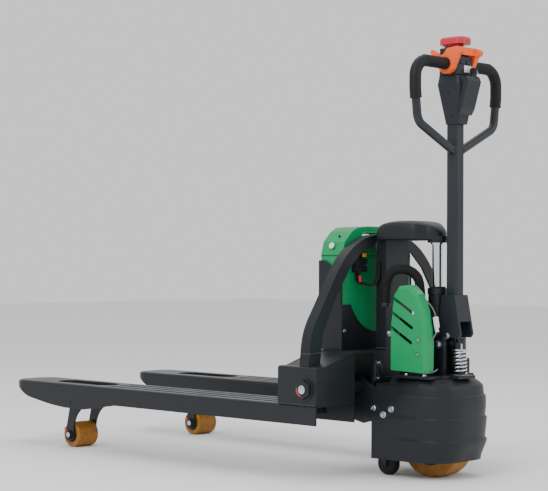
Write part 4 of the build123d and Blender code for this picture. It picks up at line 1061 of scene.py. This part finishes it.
class JACK_OT_stage(Operator):
    """Set the floor, soft lights and camera."""

    bl_idname = "jack.stage"
    bl_label = "Stage"

    def execute(self, context):
        values = context.scene.jack_stage
        bm = bmesh.new()
        bmesh.ops.create_grid(bm, x_segments=1, y_segments=1, size=14)
        mesh = bpy.data.meshes.new("floor")
        bm.to_mesh(mesh)
        bm.free()
        floor = bpy.data.objects.new("floor", mesh)
        context.scene.collection.objects.link(floor)
        tone = bpy.data.materials.new("floor_tone")
        tone.use_nodes = True
        shader = tone.node_tree.nodes["Principled BSDF"]
        shader.inputs["Base Color"].default_value = (*values.floor_tone, 1)
        shader.inputs["Roughness"].default_value = 0.9
        mesh.materials.append(tone)
        world = bpy.data.worlds.new("studio")
        world.use_nodes = True
        world.node_tree.nodes["Background"].inputs["Color"].default_value = (1, 1, 1, 1)
        world.node_tree.nodes["Background"].inputs["Strength"].default_value = 0.95
        context.scene.world = world
        aim = Vector((0.35, 0, 0.45))
        for name, place, size, power in (("key", (1.2, -3.6, 3.4), 2.6, values.key_power),
                                         ("fill", (4.2, 1.6, 2.6), 2.4, values.fill_power),
                                         ("top", (-0.4, 0.4, 4.2), 3.2, values.fill_power)):
            lamp = bpy.data.lights.new(name, "AREA")
            lamp.shape, lamp.size, lamp.energy = "DISK", size, power
            lamp_object = bpy.data.objects.new(name, lamp)
            lamp_object.matrix_world = Matrix.Translation(place) @ turn_to(Vector(place) - aim)
            context.scene.collection.objects.link(lamp_object)
        azimuth, elevation, roll = radians(44.136), radians(-0.53), radians(0.23)
        back = Vector((sin(azimuth) * cos(elevation), -cos(azimuth) * cos(elevation), sin(elevation)))
        right = Vector((cos(azimuth), sin(azimuth), 0))
        above = back.cross(right)
        right, above = right * cos(roll) + above * sin(roll), above * cos(roll) - right * sin(roll)
        lens = bpy.data.cameras.new("camera")
        lens.sensor_width, lens.lens = 36.0, 104.06
        camera = bpy.data.objects.new("camera", lens)
        turn = Matrix((right, above, back)).transposed().to_4x4()
        camera.matrix_world = Matrix.Translation((3.43713, -3.48748, 0.59875)) @ turn
        context.scene.collection.objects.link(camera)
        context.scene.camera = camera
        return {"FINISHED"}


class JACK_PT_panel(Panel):
    """Lists the pieces of the pallet jack."""

    bl_label = "Pallet Jack"
    bl_idname = "JACK_PT_panel"
    bl_space_type = "VIEW_3D"
    bl_region_type = "UI"
    bl_category = "Pallet Jack"

    def draw(self, context):
        layout = self.layout
        for group in (context.scene.jack_sizes, context.scene.jack_stage):
            column = layout.column(align=True)
            for name in group.__annotations__:
                column.prop(group, name)
        for step in STEPS:
            layout.operator(step.bl_idname, text=step.bl_label)


STEPS = (JACK_OT_finishes, JACK_OT_shroud, JACK_OT_top_cover, JACK_OT_fasteners, JACK_OT_welds,
         JACK_OT_hose, JACK_OT_battery,
         JACK_OT_tiller, JACK_OT_spring, JACK_OT_rollers, JACK_OT_frame_details, JACK_OT_stage)
CLASSES = (JackSizes, JackStage) + STEPS + (JACK_PT_panel,)


def register():
    """Registers the add-on's classes."""
    for cls in CLASSES:
        bpy.utils.register_class(cls)
    bpy.types.Scene.jack_sizes = PointerProperty(type=JackSizes)
    bpy.types.Scene.jack_stage = PointerProperty(type=JackStage)


def unregister():
    """Removes the add-on's classes."""
    del bpy.types.Scene.jack_stage
    del bpy.types.Scene.jack_sizes
    for cls in reversed(CLASSES):
        bpy.utils.unregister_class(cls)


def main():
    """Builds every piece."""
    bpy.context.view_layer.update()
    register()
    for step in STEPS:
        group, name = step.bl_idname.split(".")
        getattr(getattr(bpy.ops, group), name)()


if __name__ == "__main__":
    main()
